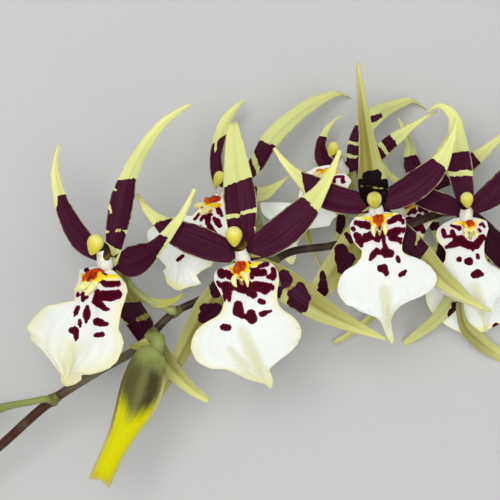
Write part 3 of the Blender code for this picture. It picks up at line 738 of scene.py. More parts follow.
TEPALS = {
    "bloom1": {
        "dorsal": (
            27, ((121, 211, 60), (129, 178, 60), (143, 150, 59), (167, 120, 57), (192, 104, 54)), SICKLE,
        ),
        "petal_left": (
            25, ((84, 241, 54), (71, 221, 52.5), (60, 196, 51), (55.5, 170, 49.5), (59, 145, 47)),
            FRONT_PETAL,
        ),
        "petal_right": (
            31,
            (
                (130, 262, 60.5), (143, 257, 62), (155.5, 248, 64.5), (165, 238, 66.5), (173, 227.5, 68),
                (181, 216.5, 69), (186.5, 206, 69), (191, 197, 69), (195, 189, 69),
            ),
            NARROW_PETAL,
        ),
        "sepal_left": (26, ((92, 305, 54), (80, 340, 51), (72, 368, 47))),
        "sepal_right": (
            31,
            (
                (128, 300, 48), (143, 326, 34.5), (160, 352, 36), (177, 374, 39), (194, 390, 41),
                (209, 400.5, 42),
            ),
            BLUNT_STRAP,
        ),
    },
    "bloom2": {
        "dorsal": (33, ((241, 210, 64), (237, 170, 62), (234, 140, 57), (233, 124, 51), (233, 126, 42))),
        "petal_left": (31, ((205, 244, 62), (165, 226, 61), (150, 213, 57), (137, 194, 50))),
        "petal_right": (33, ((283, 231, 64.5), (311, 203, 65), (328, 178, 65), (340, 150, 63))),
        "sepal_left": (
            26, ((222, 287, 57), (205, 312, 48), (185, 347, 38), (168, 380, 33), (150, 410, 30)),
        ),
        "sepal_right": (32, ((285, 285, 62), (320, 309, 62), (350, 324, 61), (386, 339, 58))),
    },
    "bloom3": {
        "dorsal": (30, ((372, 178, 61), (367, 140, 59), (362, 102, 56), (358, 63, 51)), SPEAR_SHAPE),
        "petal_left": (28, ((333, 198, 58), (303, 180, 55), (287, 165, 52), (274, 148, 49))),
        "petal_right": (29, ((412, 188, 62), (441, 161, 61), (451, 140, 60), (457, 117, 57))),
        "sepal_left": (
            29, ((359, 233, 57), (343.5, 258, 52), (327, 280, 48), (316, 293, 45), (303, 305, 42)),
            BROAD_SEPAL,
        ),
        "sepal_right": (
            27,
            (
                (393, 226, 61), (408, 243, 62), (419, 254, 62.5), (432, 268, 63), (445, 281, 63),
                (459, 292.5, 62.5), (473.5, 302.5, 62), (491, 311.5, 61),
            ),
            SLIM_SEPAL,
        ),
    },
    "bloom4": {
        "dorsal": (25, ((461, 178, 42), (457, 140, 40), (452, 115, 38), (440, 106, 36), (428, 113, 33))),
        "petal_left": (22, ((440, 203, 42), (418, 195, 41), (395, 180, 39), (382, 162, 36))),
        "petal_right": (27, ((495, 192, 44), (520, 166, 43), (535, 140, 41), (543, 113, 37))),
        "sepal_left": (22, ((448, 242, 36), (441, 264, 31), (440, 285, 28))),
        "sepal_right": (26, ((492, 243, 42), (512, 268, 40), (548, 300, 34))),
    },
    "bloom5": {
        "dorsal": (
            20,
            ((257, 164, 27), (270, 142, 28), (290, 121, 26), (315, 103, 19), (339, 94, 8), (350, 98, 0.3)),
            STRAP_SHAPE,
        ),
        "petal_left": (
            17, ((222, 183, 20), (217, 165, 18), (220, 140, 17), (230, 115, 16), (245, 100, 14)), BROAD_TIP,
        ),
        "petal_right": (15, ((262, 194, 29), (276, 186, 29), (290, 175, 27))),
        "sepal_left": (20, ((214, 214, 16), (196, 232, 9), (180, 244, 4))),
        "sepal_right": (16, ((245, 209, 25), (247, 226, 22), (246, 243, 18))),
    },
    "bloom6": {
        "dorsal": (
            20,
            (
                (357, 143, 23), (366, 126, 23), (380, 113, 20), (397, 105, 13), (412, 101, 6),
                (425, 109, 0.3),
            ),
            STRAP_SHAPE,
        ),
        "petal_left": (
            19, ((331, 167, 16), (322, 154, 15), (323, 138, 15), (331, 124, 14), (342, 116, 12)),
        ),
        "petal_right": (17, ((376, 155, 26), (393, 141, 29), (414, 125, 30), (437, 111, 28))),
        "sepal_left": (14, ((322, 200, 14), (306, 225, 10), (313, 250, 7), (322, 268, 4))),
        "sepal_right": (20, ((346, 205, 18), (341, 225, 15), (334, 250, 11))),
    },
    "bloom7": {
        "dorsal": (20, ((437, 168, 21), (446, 145, 21), (455, 125, 19))),
        "petal_left": (19, ((414, 168, 16), (408, 140, 16), (398, 118, 14))),
        "petal_right": (18, ((455, 174, 22), (478, 157, 24), (500, 138, 24), (520, 120, 20))),
        "sepal_left": (
            16, ((408, 225, 13), (396, 262, 9), (382, 305, 6), (360, 327, 4), (334, 343, 2.5)), LONG_STRAP,
        ),
        "sepal_right": (14, ((434, 222, 14), (441, 246, 10), (447, 268, 5))),
    },
    "bloom8": {
        "dorsal": (20, ((468, 226, 19.5), (465, 208, 18), (462, 190, 15))),
        "petal_left": (20, ((450, 250, 19.5), (430, 254, 19), (411, 258, 17))),
        "petal_right": (20, ((492, 252, 19.5), (515, 250, 18), (535, 246, 15))),
        "sepal_left": (
            20, ((462, 276, 20), (453, 300, 20), (437, 319, 17), (420, 333, 9), (404, 344, 0.3)),
            TAPERED_STRAP,
        ),
        "sepal_right": (
            15,
            (
                (470, 276, 20), (460, 304, 20), (464, 325, 17.5), (479, 341, 11.5), (494, 352, 5),
                (507, 360, 0.3),
            ),
            FLARED_STRAP,
        ),
    },
}

# Patches, read on the measuring grid. "upto" is a line that ends the dark part on the side of the
# tip, and "from" one that starts it. "spots" are dark and "nicks" pale rounded strokes: two ends
# and a radius at each.

PATCHES = {
    "bloom1": {
        "dorsal": {
            "upto": (113, 180.5, 139, 178),
            "from": (103, 241, 121, 250),
            "nicks": (
                (112, 187, 115.5, 190, 1.4, 0.9), (107.5, 205, 111, 212, 2.4, 1.8),
                (135.5, 201, 135, 206, 1.8, 1.4), (139.5, 178, 137.2, 198, 2.4, 0.9),
                (103, 231.5, 109.5, 231.5, 2.6, 0.9), (116.5, 230.5, 120, 230.5, 1.5, 1.1),
                (131, 221, 128, 239, 1.2, 2.0), (124, 231, 128, 232.5, 0.8, 1.8),
            ),
        },
        "petal_left": {"upto": (53, 198, 68, 192), "nicks": ((53.5, 194, 54.6, 210, 5.2, 1.6),)},
        "petal_right": {
            "upto": (158, 231.5, 171, 240.5),
            "nicks": ((170.5, 239, 165.5, 247.5, 2.6, 1.9), (165.5, 247.5, 159, 257, 1.9, 1.6)),
        },
        "sepal_right": {
            "from": (116, 303, 148, 300),
            "upto": (132, 350, 160, 333),
            "nicks": ((147, 315, 138, 319, 3, 2.2), (118, 319, 127, 323, 2.5, 1.5)),
        },
    },
    "bloom2": {
        "dorsal": {
            "upto": (220, 188, 251, 177),
            "nicks": (
                (222, 218, 238, 215.5, 2.4, 2.0), (242, 213, 257, 210, 1.8, 2.4),
                (254.5, 226, 257, 234, 0.8, 2.0),
            ),
        },
        "petal_left": {"upto": (151, 225.5, 168, 218.5), "nicks": ((158, 219.5, 158, 221, 2.2, 2.2),)},
        "petal_right": {"upto": (305, 199, 314, 208), "nicks": ((275, 257.5, 280, 255.5, 1.8, 1.4),)},
        "sepal_left": {
            "spots": (
                (215, 284, 216, 292, 6, 5.5), (205, 308, 217, 309, 5.5, 6), (204, 317, 213, 315, 6.5, 6),
            ),
        },
        "sepal_right": {
            "spots": (
                (284, 275, 287, 282, 6, 7), (280, 289, 278.5, 296, 2.8, 2.2), (300, 286, 305, 297, 4.5, 6),
                (294, 294, 301, 305, 7, 8), (291, 303, 297, 311, 5, 5.5),
            ),
            "nicks": (
                (298, 276, 291, 287, 1.5, 1.3), (291, 287, 284, 291, 1.3, 1.3),
                (284, 291, 282.5, 300, 1.3, 1.3), (282.5, 300, 287, 310, 1.3, 1.3),
            ),
        },
    },
    "bloom3": {
        "dorsal": {
            "upto": (356, 178, 388, 179),
            "spots": ((367, 177, 376, 176, 5.5, 6.5),),
            "nicks": (
                (358, 187, 368, 185.8, 0.9, 0.7), (368, 185.8, 378, 188, 0.7, 0.7),
                (378, 188, 388, 188.5, 0.7, 0.9),
            ),
        },
        "petal_left": {"upto": (306, 197, 302, 177)},
        "petal_right": {"upto": (428, 155, 446, 168)},
        "sepal_left": {
            "spots": (
                (346.5, 234.5, 350.5, 240.5, 2.8, 2.6), (340.5, 250, 342, 256, 7, 8),
                (342, 258, 349, 259, 8, 6.8), (344, 262, 341.5, 269, 8, 5), (322, 272, 323, 280, 2.6, 3.4),
                (323, 283, 323, 290, 4.8, 6.2), (321, 291, 321, 296, 5, 3.2),
            ),
        },
        "sepal_right": {
            "upto": (419.5, 260, 430, 246),
            "nicks": ((419, 235, 415.6, 244.5, 2.4, 0.9), (402.5, 254.5, 407, 255.5, 1.8, 1.4)),
        },
    },
    "bloom4": {
        "sepal_left": {"upto": (432, 262, 452, 262)},
        "sepal_right": {"upto": (498, 278, 516, 264)},
        "dorsal": {"upto": (444, 154, 472, 151), "nicks": ((444, 174, 474, 173, 2.6, 2.6),)},
        "petal_left": {"upto": (394, 192, 405, 176)},
        "petal_right": {"upto": (506, 165, 522, 178)},
    },
    "bloom5": {
        "dorsal": {"upto": (250, 136, 276, 146), "nicks": ((252, 152, 259, 174, 2.4, 2.2),)},
        "petal_left": {"upto": (211, 146, 230, 131), "nicks": ((216, 138, 215.5, 152, 1.6, 0.8),)},
        "petal_right": {"upto": (258, 180, 256, 204)},
    },
    "bloom6": {
        "dorsal": {
            "upto": (348, 121, 376, 133),
            "nicks": ((345, 142, 370, 146, 1.8, 1.8), (343, 155, 370, 159, 1.8, 1.8)),
            "spots": ((373, 119, 380, 117, 3.5, 3),),
        },
        "petal_left": {"upto": (313, 136, 335, 138)},
        "sepal_right": {"spots": ((340.5, 220, 340.5, 229, 5.5, 5),)},
        "sepal_left": {"spots": ((304, 205, 307, 212, 4, 3),)},
    },
    "bloom7": {"petal_left": {"upto": (398, 158, 422, 153)}, "dorsal": {"upto": (434, 158, 458, 160)}},
    "bloom8": {
        "sepal_left": {"spots": ((453, 304, 460, 304.5, 2.4, 2.4), (455, 306, 451, 313.5, 2.8, 4.2))},
        "sepal_right": {"spots": ((472, 262, 472, 264, 2, 2),)},
    },
}
# How far each is dulled to olive, partly its own colour and partly painted shade in its channel, where 0 is
# clear yellow-green and 1 a dull olive; and how far painted shade darkens its dark patches, 1 being nearly
# black
SHADES = {
    ("bloom2", "dorsal"): (0.08, 0.0),
    ("bloom2", "petal_right"): (0.10, 0.0),
    ("bloom1", "dorsal"): (0.03, 0.0),
    ("bloom1", "petal_right"): (0.0, 0.2),
    ("bloom1", "sepal_right"): (0.90, 0.3),
    ("bloom2", "sepal_left"): (0.90, 0.3),
    ("bloom2", "sepal_right"): (0.80, 0.25),
    ("bloom3", "dorsal"): (0.95, 1.0),
    ("bloom3", "sepal_left"): (0.85, 0.4),
    ("bloom3", "sepal_right"): (0.70, 0.35),
    ("bloom4", "dorsal"): (0.0, 0.0),
    ("bloom4", "petal_left"): (0.3, 0.2),
    ("bloom5", "dorsal"): (0.08, 0.0),
    ("bloom5", "sepal_left"): (0.5, 0.5),
    ("bloom6", "dorsal"): (0.10, 0.0),
    ("bloom6", "sepal_left"): (0.8, 0.5),
    ("bloom6", "sepal_right"): (0.7, 0.5),
    ("bloom7", "sepal_left"): (0.40, 0.5),
    ("bloom8", "sepal_left"): (0.15, 0.5),
    ("bloom8", "sepal_right"): (0.80, 0.6),
    ("bloom4", "sepal_left"): (0.8, 0.6),
    ("bloom4", "sepal_right"): (0.3, 0.5),
}

TEPAL_NIGHT = colour(0.004, 0.0001, 0.0003)
TEPAL_DEEP = colour(0.043, 0.0025, 0.014)
TEPAL_PURPLE = colour(0.074, 0.011, 0.034)
TEPAL_SHEEN = colour(0.112, 0.034, 0.064)
TEPAL_GREEN = colour(0.710, 0.750, 0.290)
TEPAL_TIP = colour(0.930, 0.915, 0.340)
TEPAL_OLIVE = colour(0.230, 0.190, 0.030)
TEPAL_MARGIN = colour(0.560, 0.500, 0.260)

tepal_skin, start, surface = material("tepal_skin")
length = start.note("along")
width = start.note("across")
tone = start.note("tone")
wobble = start.mottle(650, 3)
edge = start.note("mark") + wobble * 1.2 + start.mottle(260, 2) * 1.5 + start.mottle(2200, 2) * 0.3
dark = edge.rise(0.10, -0.10)
veins = start.streaks(26.0, 0.7)
broad = start.streaks(6.0, 1.6)
purple = (broad + 0.5).rise(0.25, 0.80).blend(TEPAL_DEEP, TEPAL_PURPLE)
purple = (veins.rise(0.0, 0.35) * 0.30).blend(purple, TEPAL_SHEEN)
# Painted shade: dark patches darkened towards black, as far as the blade's "deep" note says
purple = (start.note("deep") * (broad + 1.0).rise(0.1, 0.8)).blend(purple, TEPAL_NIGHT)
green = (length + broad * 0.5).rise(0.45, 1.05).blend(TEPAL_GREEN, TEPAL_TIP)
# Olive by the blade's tone: partly its own dull colour, partly painted shade, with one half of the channel
# kept lighter as painted light
olive_and_shade = tone * (broad + 1.0).rise(0.3, 1.1) * length.rise(1.35, 0.45) * (1.0 - width.rise(-0.1, 0.35) * 0.35)
green = olive_and_shade.blend(green, TEPAL_OLIVE)
# Painted shade: olive down the middle, in the crease of the channel, stronger on the olive blades
keel = abs(width).rise(0.30, 0.03) * length.rise(1.0, 0.4)
green = (keel * (tone * 0.7 + 0.12)).blend(green, TEPAL_OLIVE)
green = (veins.rise(0.10, 0.35) * 0.14).blend(green, TEPAL_OLIVE)
rim = start.note("rim") + wobble * 0.5
margin = rim.rise(0.44, 0.14) * start.mottle(240, 2).rise(-0.22, 0.1) * length.rise(0.14, 0.30)
whole = dark.blend(green, purple)
whole = (margin * 0.75).blend(whole, TEPAL_MARGIN)
surface({
    "Base Color": whole,
    "Roughness": 0.46 + start.mottle(1100, 2) * 0.18,
    "Normal": start.relief(veins + start.mottle(3600, 2) * 0.35, 0.00012),
    "Specular IOR Level": 0.06,
})


def stroke(at, x0, y0, x1, y1, r0, r1):
    """How far points lie outside a rounded stroke, in grid steps; less than 0 is inside it."""
    line = np.array((x1 - x0, y1 - y0), float)
    share = np.clip(((at - (x0, y0)) @ line) / max(line @ line, 1e-9), 0, 1)
    foot = np.array((x0, y0)) + share[:, None] * line
    return np.linalg.norm(at - foot, axis=1) - (r0 + (r1 - r0) * share)


def beyond(at, x0, y0, x1, y1, root):
    """How far points lie beyond a line, seen from the root, in grid steps."""
    normal = np.array((y1 - y0, x0 - x1), float)
    normal /= np.linalg.norm(normal)
    if (np.array(root) - (x0, y0)) @ normal > 0:
        normal = -normal
    return (at - (x0, y0)) @ normal


def patch_marks(bloom, part):
    """What darkens one sepal or petal: the distance outside its dark patches, in millimetres."""
    form = PATCHES.get(bloom, {}).get(part, {})
    middle = BLOOM_CENTRES[bloom][0]
    root = middle[:2]
    long = lengths_of([seen(*p) for p in (middle, *TEPALS[bloom][part][1])])[-1] / STEP

    def mark(at, t, rim):
        if not form:
            outside = (t - PLAIN_END) * long
            for bar in PLAIN_BARS:
                outside = np.maximum(outside, BAR_HALF - np.abs(t - bar) * long)
        elif "upto" not in form:
            outside = np.full(len(t), NO_PATCH)
        else:
            outside = beyond(at, *form["upto"], root)
            beside = CORNER_INSET + rim * MM / STEP
            corner = np.hypot(np.maximum(outside + CORNER, 0), np.maximum(CORNER - beside, 0)) - CORNER
            outside = np.where(outside > -CORNER, np.maximum(outside, corner), outside)
        for one in form.get("spots", ()):
            outside = np.minimum(outside, stroke(at, *one))
        if "from" in form:
            outside = np.maximum(outside, -beyond(at, *form["from"], root))
        for one in form.get("nicks", ()):
            outside = np.maximum(outside, -stroke(at, *one))
        return np.clip(outside * STEP / MM, -MARK_LIMIT, MARK_LIMIT)

    return mark


def ball(name, centre, radii, axis, skin, detail=(24, 14), **notes):
    """An egg shape with its third radius along the axis."""
    bpy.ops.mesh.primitive_uv_sphere_add(segments=detail[0], ring_count=detail[1], radius=1)
    piece = bpy.context.object
    piece.name = piece.data.name = name
    turn = np.array(Vector(axis).to_track_quat("Z", "Y").to_matrix())
    lay(piece, (spots_of(piece) * radii) @ turn.T + np.array(centre), **notes)
    piece.data.materials.append(skin)
    return piece


for bloom, tepals in TEPALS.items():
    centre = seen(*BLOOM_CENTRES[bloom][0])
    facing = Vector(BLOOM_CENTRES[bloom][1]).normalized()
    rows, columns = REAR_BLADE if bloom in REAR_BLOOMS else BLADE_GRID
    pieces = [ball("boss", centre, (BOSS_RADIUS,) * 3, facing, tepal_skin, along=0.2, across=0.5, rim=5.0,
                   mark=-5.0 if bloom in SHADED_BLOOMS else 5.0, kind=1.0, tone=0.4, deep=0.0)]
    for number, (part, form) in enumerate(tepals.items()):
        width, points = form[:2]
        petal = "petal" in part
        shape = form[2] if len(form) == 3 else (PETAL_SHAPE if petal else SEPAL_SHAPE)
        first = seen(*points[0]) - centre
        root = (first - facing * first.dot(facing)).normalized() * ROOT_REACH
        line = [centre, centre + root] + [seen(*p) for p in points]
        tone, deep = SHADES.get((bloom, part), (0.0, 0.0))
        pieces.append(blade(part, line, facing, width, shape, CHANNEL, PETAL_WAVE if petal else SEPAL_WAVE,
                            rows, columns, tepal_skin, kind=number + 5.0 * int(bloom[-1]),
                            mark=patch_marks(bloom, part), tone=tone, deep=deep))
    star = joined(bloom + "_sepals_and_petals", pieces)
    finish_piece(star, bloom + "_tepals")


# Lips: a broad fiddle-shaped blade with two shoulders, a waist and a lower lobe drawn out to a
# point. It is white with a cream edge, blotched crimson above. Its callus is a lumpy crest of
# orange and yellow, with two teeth that point down the lip.

LIPS = {
    "bloom1": (
        (101, 268.5, 61.6), (95, 285, 65), (93, 310, 67), (84, 335, 69), (76, 355, 69), (66, 386, 64),
    ),
    "bloom2": (
        (243, 262.5, 64.8), (245, 276, 68), (250, 308, 71), (249, 333, 72), (254, 357, 71), (262, 374, 69),
        (271, 388, 66),
    ),
    "bloom3": (
        (377, 212.5, 62.8), (378, 224, 66), (381, 251, 69), (386, 280, 70), (389, 305, 68), (387, 325, 65),
        (391.5, 343.5, 61),
    ),
    "bloom4": (
        (468, 217.5, 44.8), (468, 230, 48), (470, 258, 51), (474, 285, 53), (479, 305, 52), (483, 318, 50),
        (486, 332, 46),
    ),
    "bloom5": (
        (232.5, 196, 30.5), (214, 209, 36), (197, 228, 38), (184, 252, 37), (178, 272, 34), (177, 290, 30),
    ),
    "bloom6": (
        (344, 173, 26.6), (322, 184, 31), (309, 198, 32), (303, 216, 32), (300, 233, 30), (295, 250, 27),
        (290, 264, 24),
    ),
    "bloom7": (
        (417, 197, 22), (410, 207, 24), (400, 227, 24), (391, 247, 22), (386, 265, 18), (384, 280, 14),
    ),
    "bloom8": (
        (469.5, 257.3, 16.4), (469, 263, 14), (466, 280, 12), (465, 298, 11.5), (466, 316, 11.5),
        (469, 335, 11.5),
    ),
}
LIP_FRONT = (
    (0.00, 6, 6), (0.03, 22, 22), (0.08, 30, 30), (0.17, 32, 32), (0.28, 28, 29), (0.36, 25, 27),
    (0.44, 37, 38), (0.54, 51, 50), (0.64, 56, 50), (0.76, 44, 40), (0.88, 22, 13), (1.00, 4, 3),
)
LIP_POINTED = (
    (0.00, 6, 6), (0.03, 20, 21), (0.09, 28, 28), (0.18, 26, 27), (0.29, 19, 21),
    (0.38, 32, 35), (0.47, 43, 48), (0.54, 47, 49), (0.64, 38, 36), (0.73, 23, 17),
    (0.81, 11, 8), (0.91, 5, 5), (1.00, 3, 3),
)
LIP_TURNED = (
    (0.00, 6, 8), (0.05, 16, 25), (0.15, 22, 33), (0.27, 24, 32), (0.35, 34, 29),
    (0.44, 50, 32), (0.54, 65, 38), (0.66, 66, 38), (0.78, 50, 27), (0.90, 20, 13), (1.00, 7, 6),
)
LIP_SIDE = (
    (0.00, 6, 7), (0.05, 14, 22), (0.15, 18, 28), (0.27, 19, 27), (0.35, 28, 26),
    (0.44, 43, 30), (0.54, 52, 36), (0.66, 46, 36), (0.78, 31, 26), (0.90, 14, 13), (1.00, 6, 6),
)
LIP_UNDER = (
    (0.00, 6, 7), (0.05, 14, 20), (0.15, 18, 26), (0.27, 18, 27), (0.36, 24, 28), (0.46, 38, 32),
    (0.56, 46, 33), (0.64, 42, 19), (0.72, 34, 9), (0.84, 20, 5), (1.00, 5, 4),
)
LIP_BEHIND = (
    (0.00, 6, 6), (0.06, 18, 18), (0.16, 24, 24), (0.28, 22, 24), (0.42, 34, 38), (0.56, 42, 41),
    (0.72, 40, 28), (0.87, 30, 12), (1.00, 8, 5),
)
LIP_OUTLINES = {
    "bloom1": LIP_TURNED, "bloom2": LIP_FRONT, "bloom3": LIP_POINTED, "bloom4": LIP_POINTED,
    "bloom5": LIP_SIDE, "bloom6": LIP_UNDER, "bloom7": LIP_SIDE, "bloom8": LIP_BEHIND,
}
# The edges of the lips that show best, on the measuring grid
LIP_EDGES = {
    "bloom1": (
        (75, 301), (65, 302), (50, 306), (40, 311), (33, 319), (28, 328), (27, 333), (30, 338), (28, 343),
        (35, 348), (42, 355), (52, 367), (60, 375), (61, 382), (65, 387), (75, 384), (82, 379), (81, 374),
        (90, 374), (100, 371), (110, 367), (118, 360), (123, 350), (124.5, 342), (122, 334), (118, 328),
        (119, 320), (121, 310), (125, 300), (128, 291), (126, 283), (120, 276), (113, 270), (100, 264),
        (86, 264), (80, 268), (79, 278), (75, 288), (74.5, 296),
    ),
    "bloom2": (
        (217, 268), (214, 273), (214, 280), (217, 286), (222, 296), (224, 302), (222, 310), (219, 315),
        (212, 319), (203, 324), (196, 331), (192, 340), (191, 350), (194, 357), (197, 363), (204, 367),
        (212, 370), (220, 370), (224, 369), (232, 372), (240, 376), (248, 380), (258, 383), (265, 384),
        (270, 389), (272, 388), (273, 380), (271, 374), (269, 370), (271, 367), (278, 362), (285, 357),
        (292, 353), (299, 346), (301, 340), (301.5, 332), (300, 325), (297, 320), (292, 315), (285, 311),
        (280, 307), (277, 300), (277, 292), (279, 280), (278, 271), (274, 264), (268, 260), (262, 259.5),
        (243, 259), (230, 265),
    ),
    "bloom3": (
        (362, 216), (372, 211), (386, 211), (394, 211), (401, 213), (405, 218), (406, 226), (404, 235),
        (402, 243), (402, 250), (405, 254), (415, 257), (424, 261), (431, 267), (436, 275), (437, 282),
        (434, 289), (428, 294), (420, 298), (410, 301), (400, 306), (394, 313), (391, 320), (392, 330),
        (394, 340), (393, 345), (389, 341), (385, 332), (381, 322), (376, 317), (366, 314), (356, 312),
        (348, 308), (341, 300), (338, 293), (338, 285), (340, 277), (345, 270), (355, 265), (361, 258),
        (362, 250), (358, 247), (353, 240), (350, 230), (350, 223), (353, 218),
    ),
    "bloom4": (
        (468, 216), (482, 217), (487, 221), (488.5, 228), (486.5, 235), (484.5, 241), (484, 250),
        (485, 258), (489, 263), (496, 267), (505, 272), (513, 279), (517, 287), (515, 296), (508, 304),
        (499, 310), (492, 315), (489, 322), (487.5, 332), (485, 332), (482, 320), (477, 312), (470, 307),
        (463, 303), (455, 300), (445, 295), (437, 290), (431, 284), (430, 278), (434, 271), (441, 266),
        (445, 260), (446, 252), (443, 246), (438, 241), (436, 234), (438, 227), (444, 222.5), (455, 218),
    ),
    "bloom8": (
        (470, 255), (455, 262), (440, 269), (430, 278), (425.5, 290), (427, 303), (431, 311), (438, 318),
        (446, 325), (455, 330), (464, 334), (475, 337), (488, 337), (498, 334), (505, 328), (509, 318),
        (510, 305), (506, 290), (498, 277), (485, 265),
    ),
    "bloom5": (
        (168, 219), (175, 217), (184, 215), (192, 217), (196, 213), (203, 205), (212, 196), (224, 190),
        (234, 190), (240, 196), (238, 208), (232, 222), (226, 238), (219, 254), (211, 267), (208, 268),
        (200, 272), (195, 275.5), (197, 279), (201, 284), (200, 286), (192, 286), (185, 288), (180, 290.5),
        (175, 290), (173, 287), (163, 283), (157, 279), (157, 276), (163, 271), (166, 268), (160, 261),
        (156, 258), (150, 250), (146, 240), (147, 234), (150, 230), (158, 224),
    ),
    "bloom6": (
        (344, 168), (330, 164), (316, 166), (306, 172), (302, 182), (300, 192), (298, 205), (290, 202.5),
        (280, 201.5), (270, 201.5), (262, 203), (259, 205), (260, 212), (262, 220), (265, 227), (270, 240),
        (276, 252), (282, 261), (288, 264), (293, 264), (296, 258), (297, 248), (298, 238), (302, 231),
        (310, 229), (320, 228), (330, 227), (333, 220), (337, 216), (330, 210), (322, 205), (326, 199),
        (336, 194), (346, 190), (351, 182), (350, 174),
    ),
}
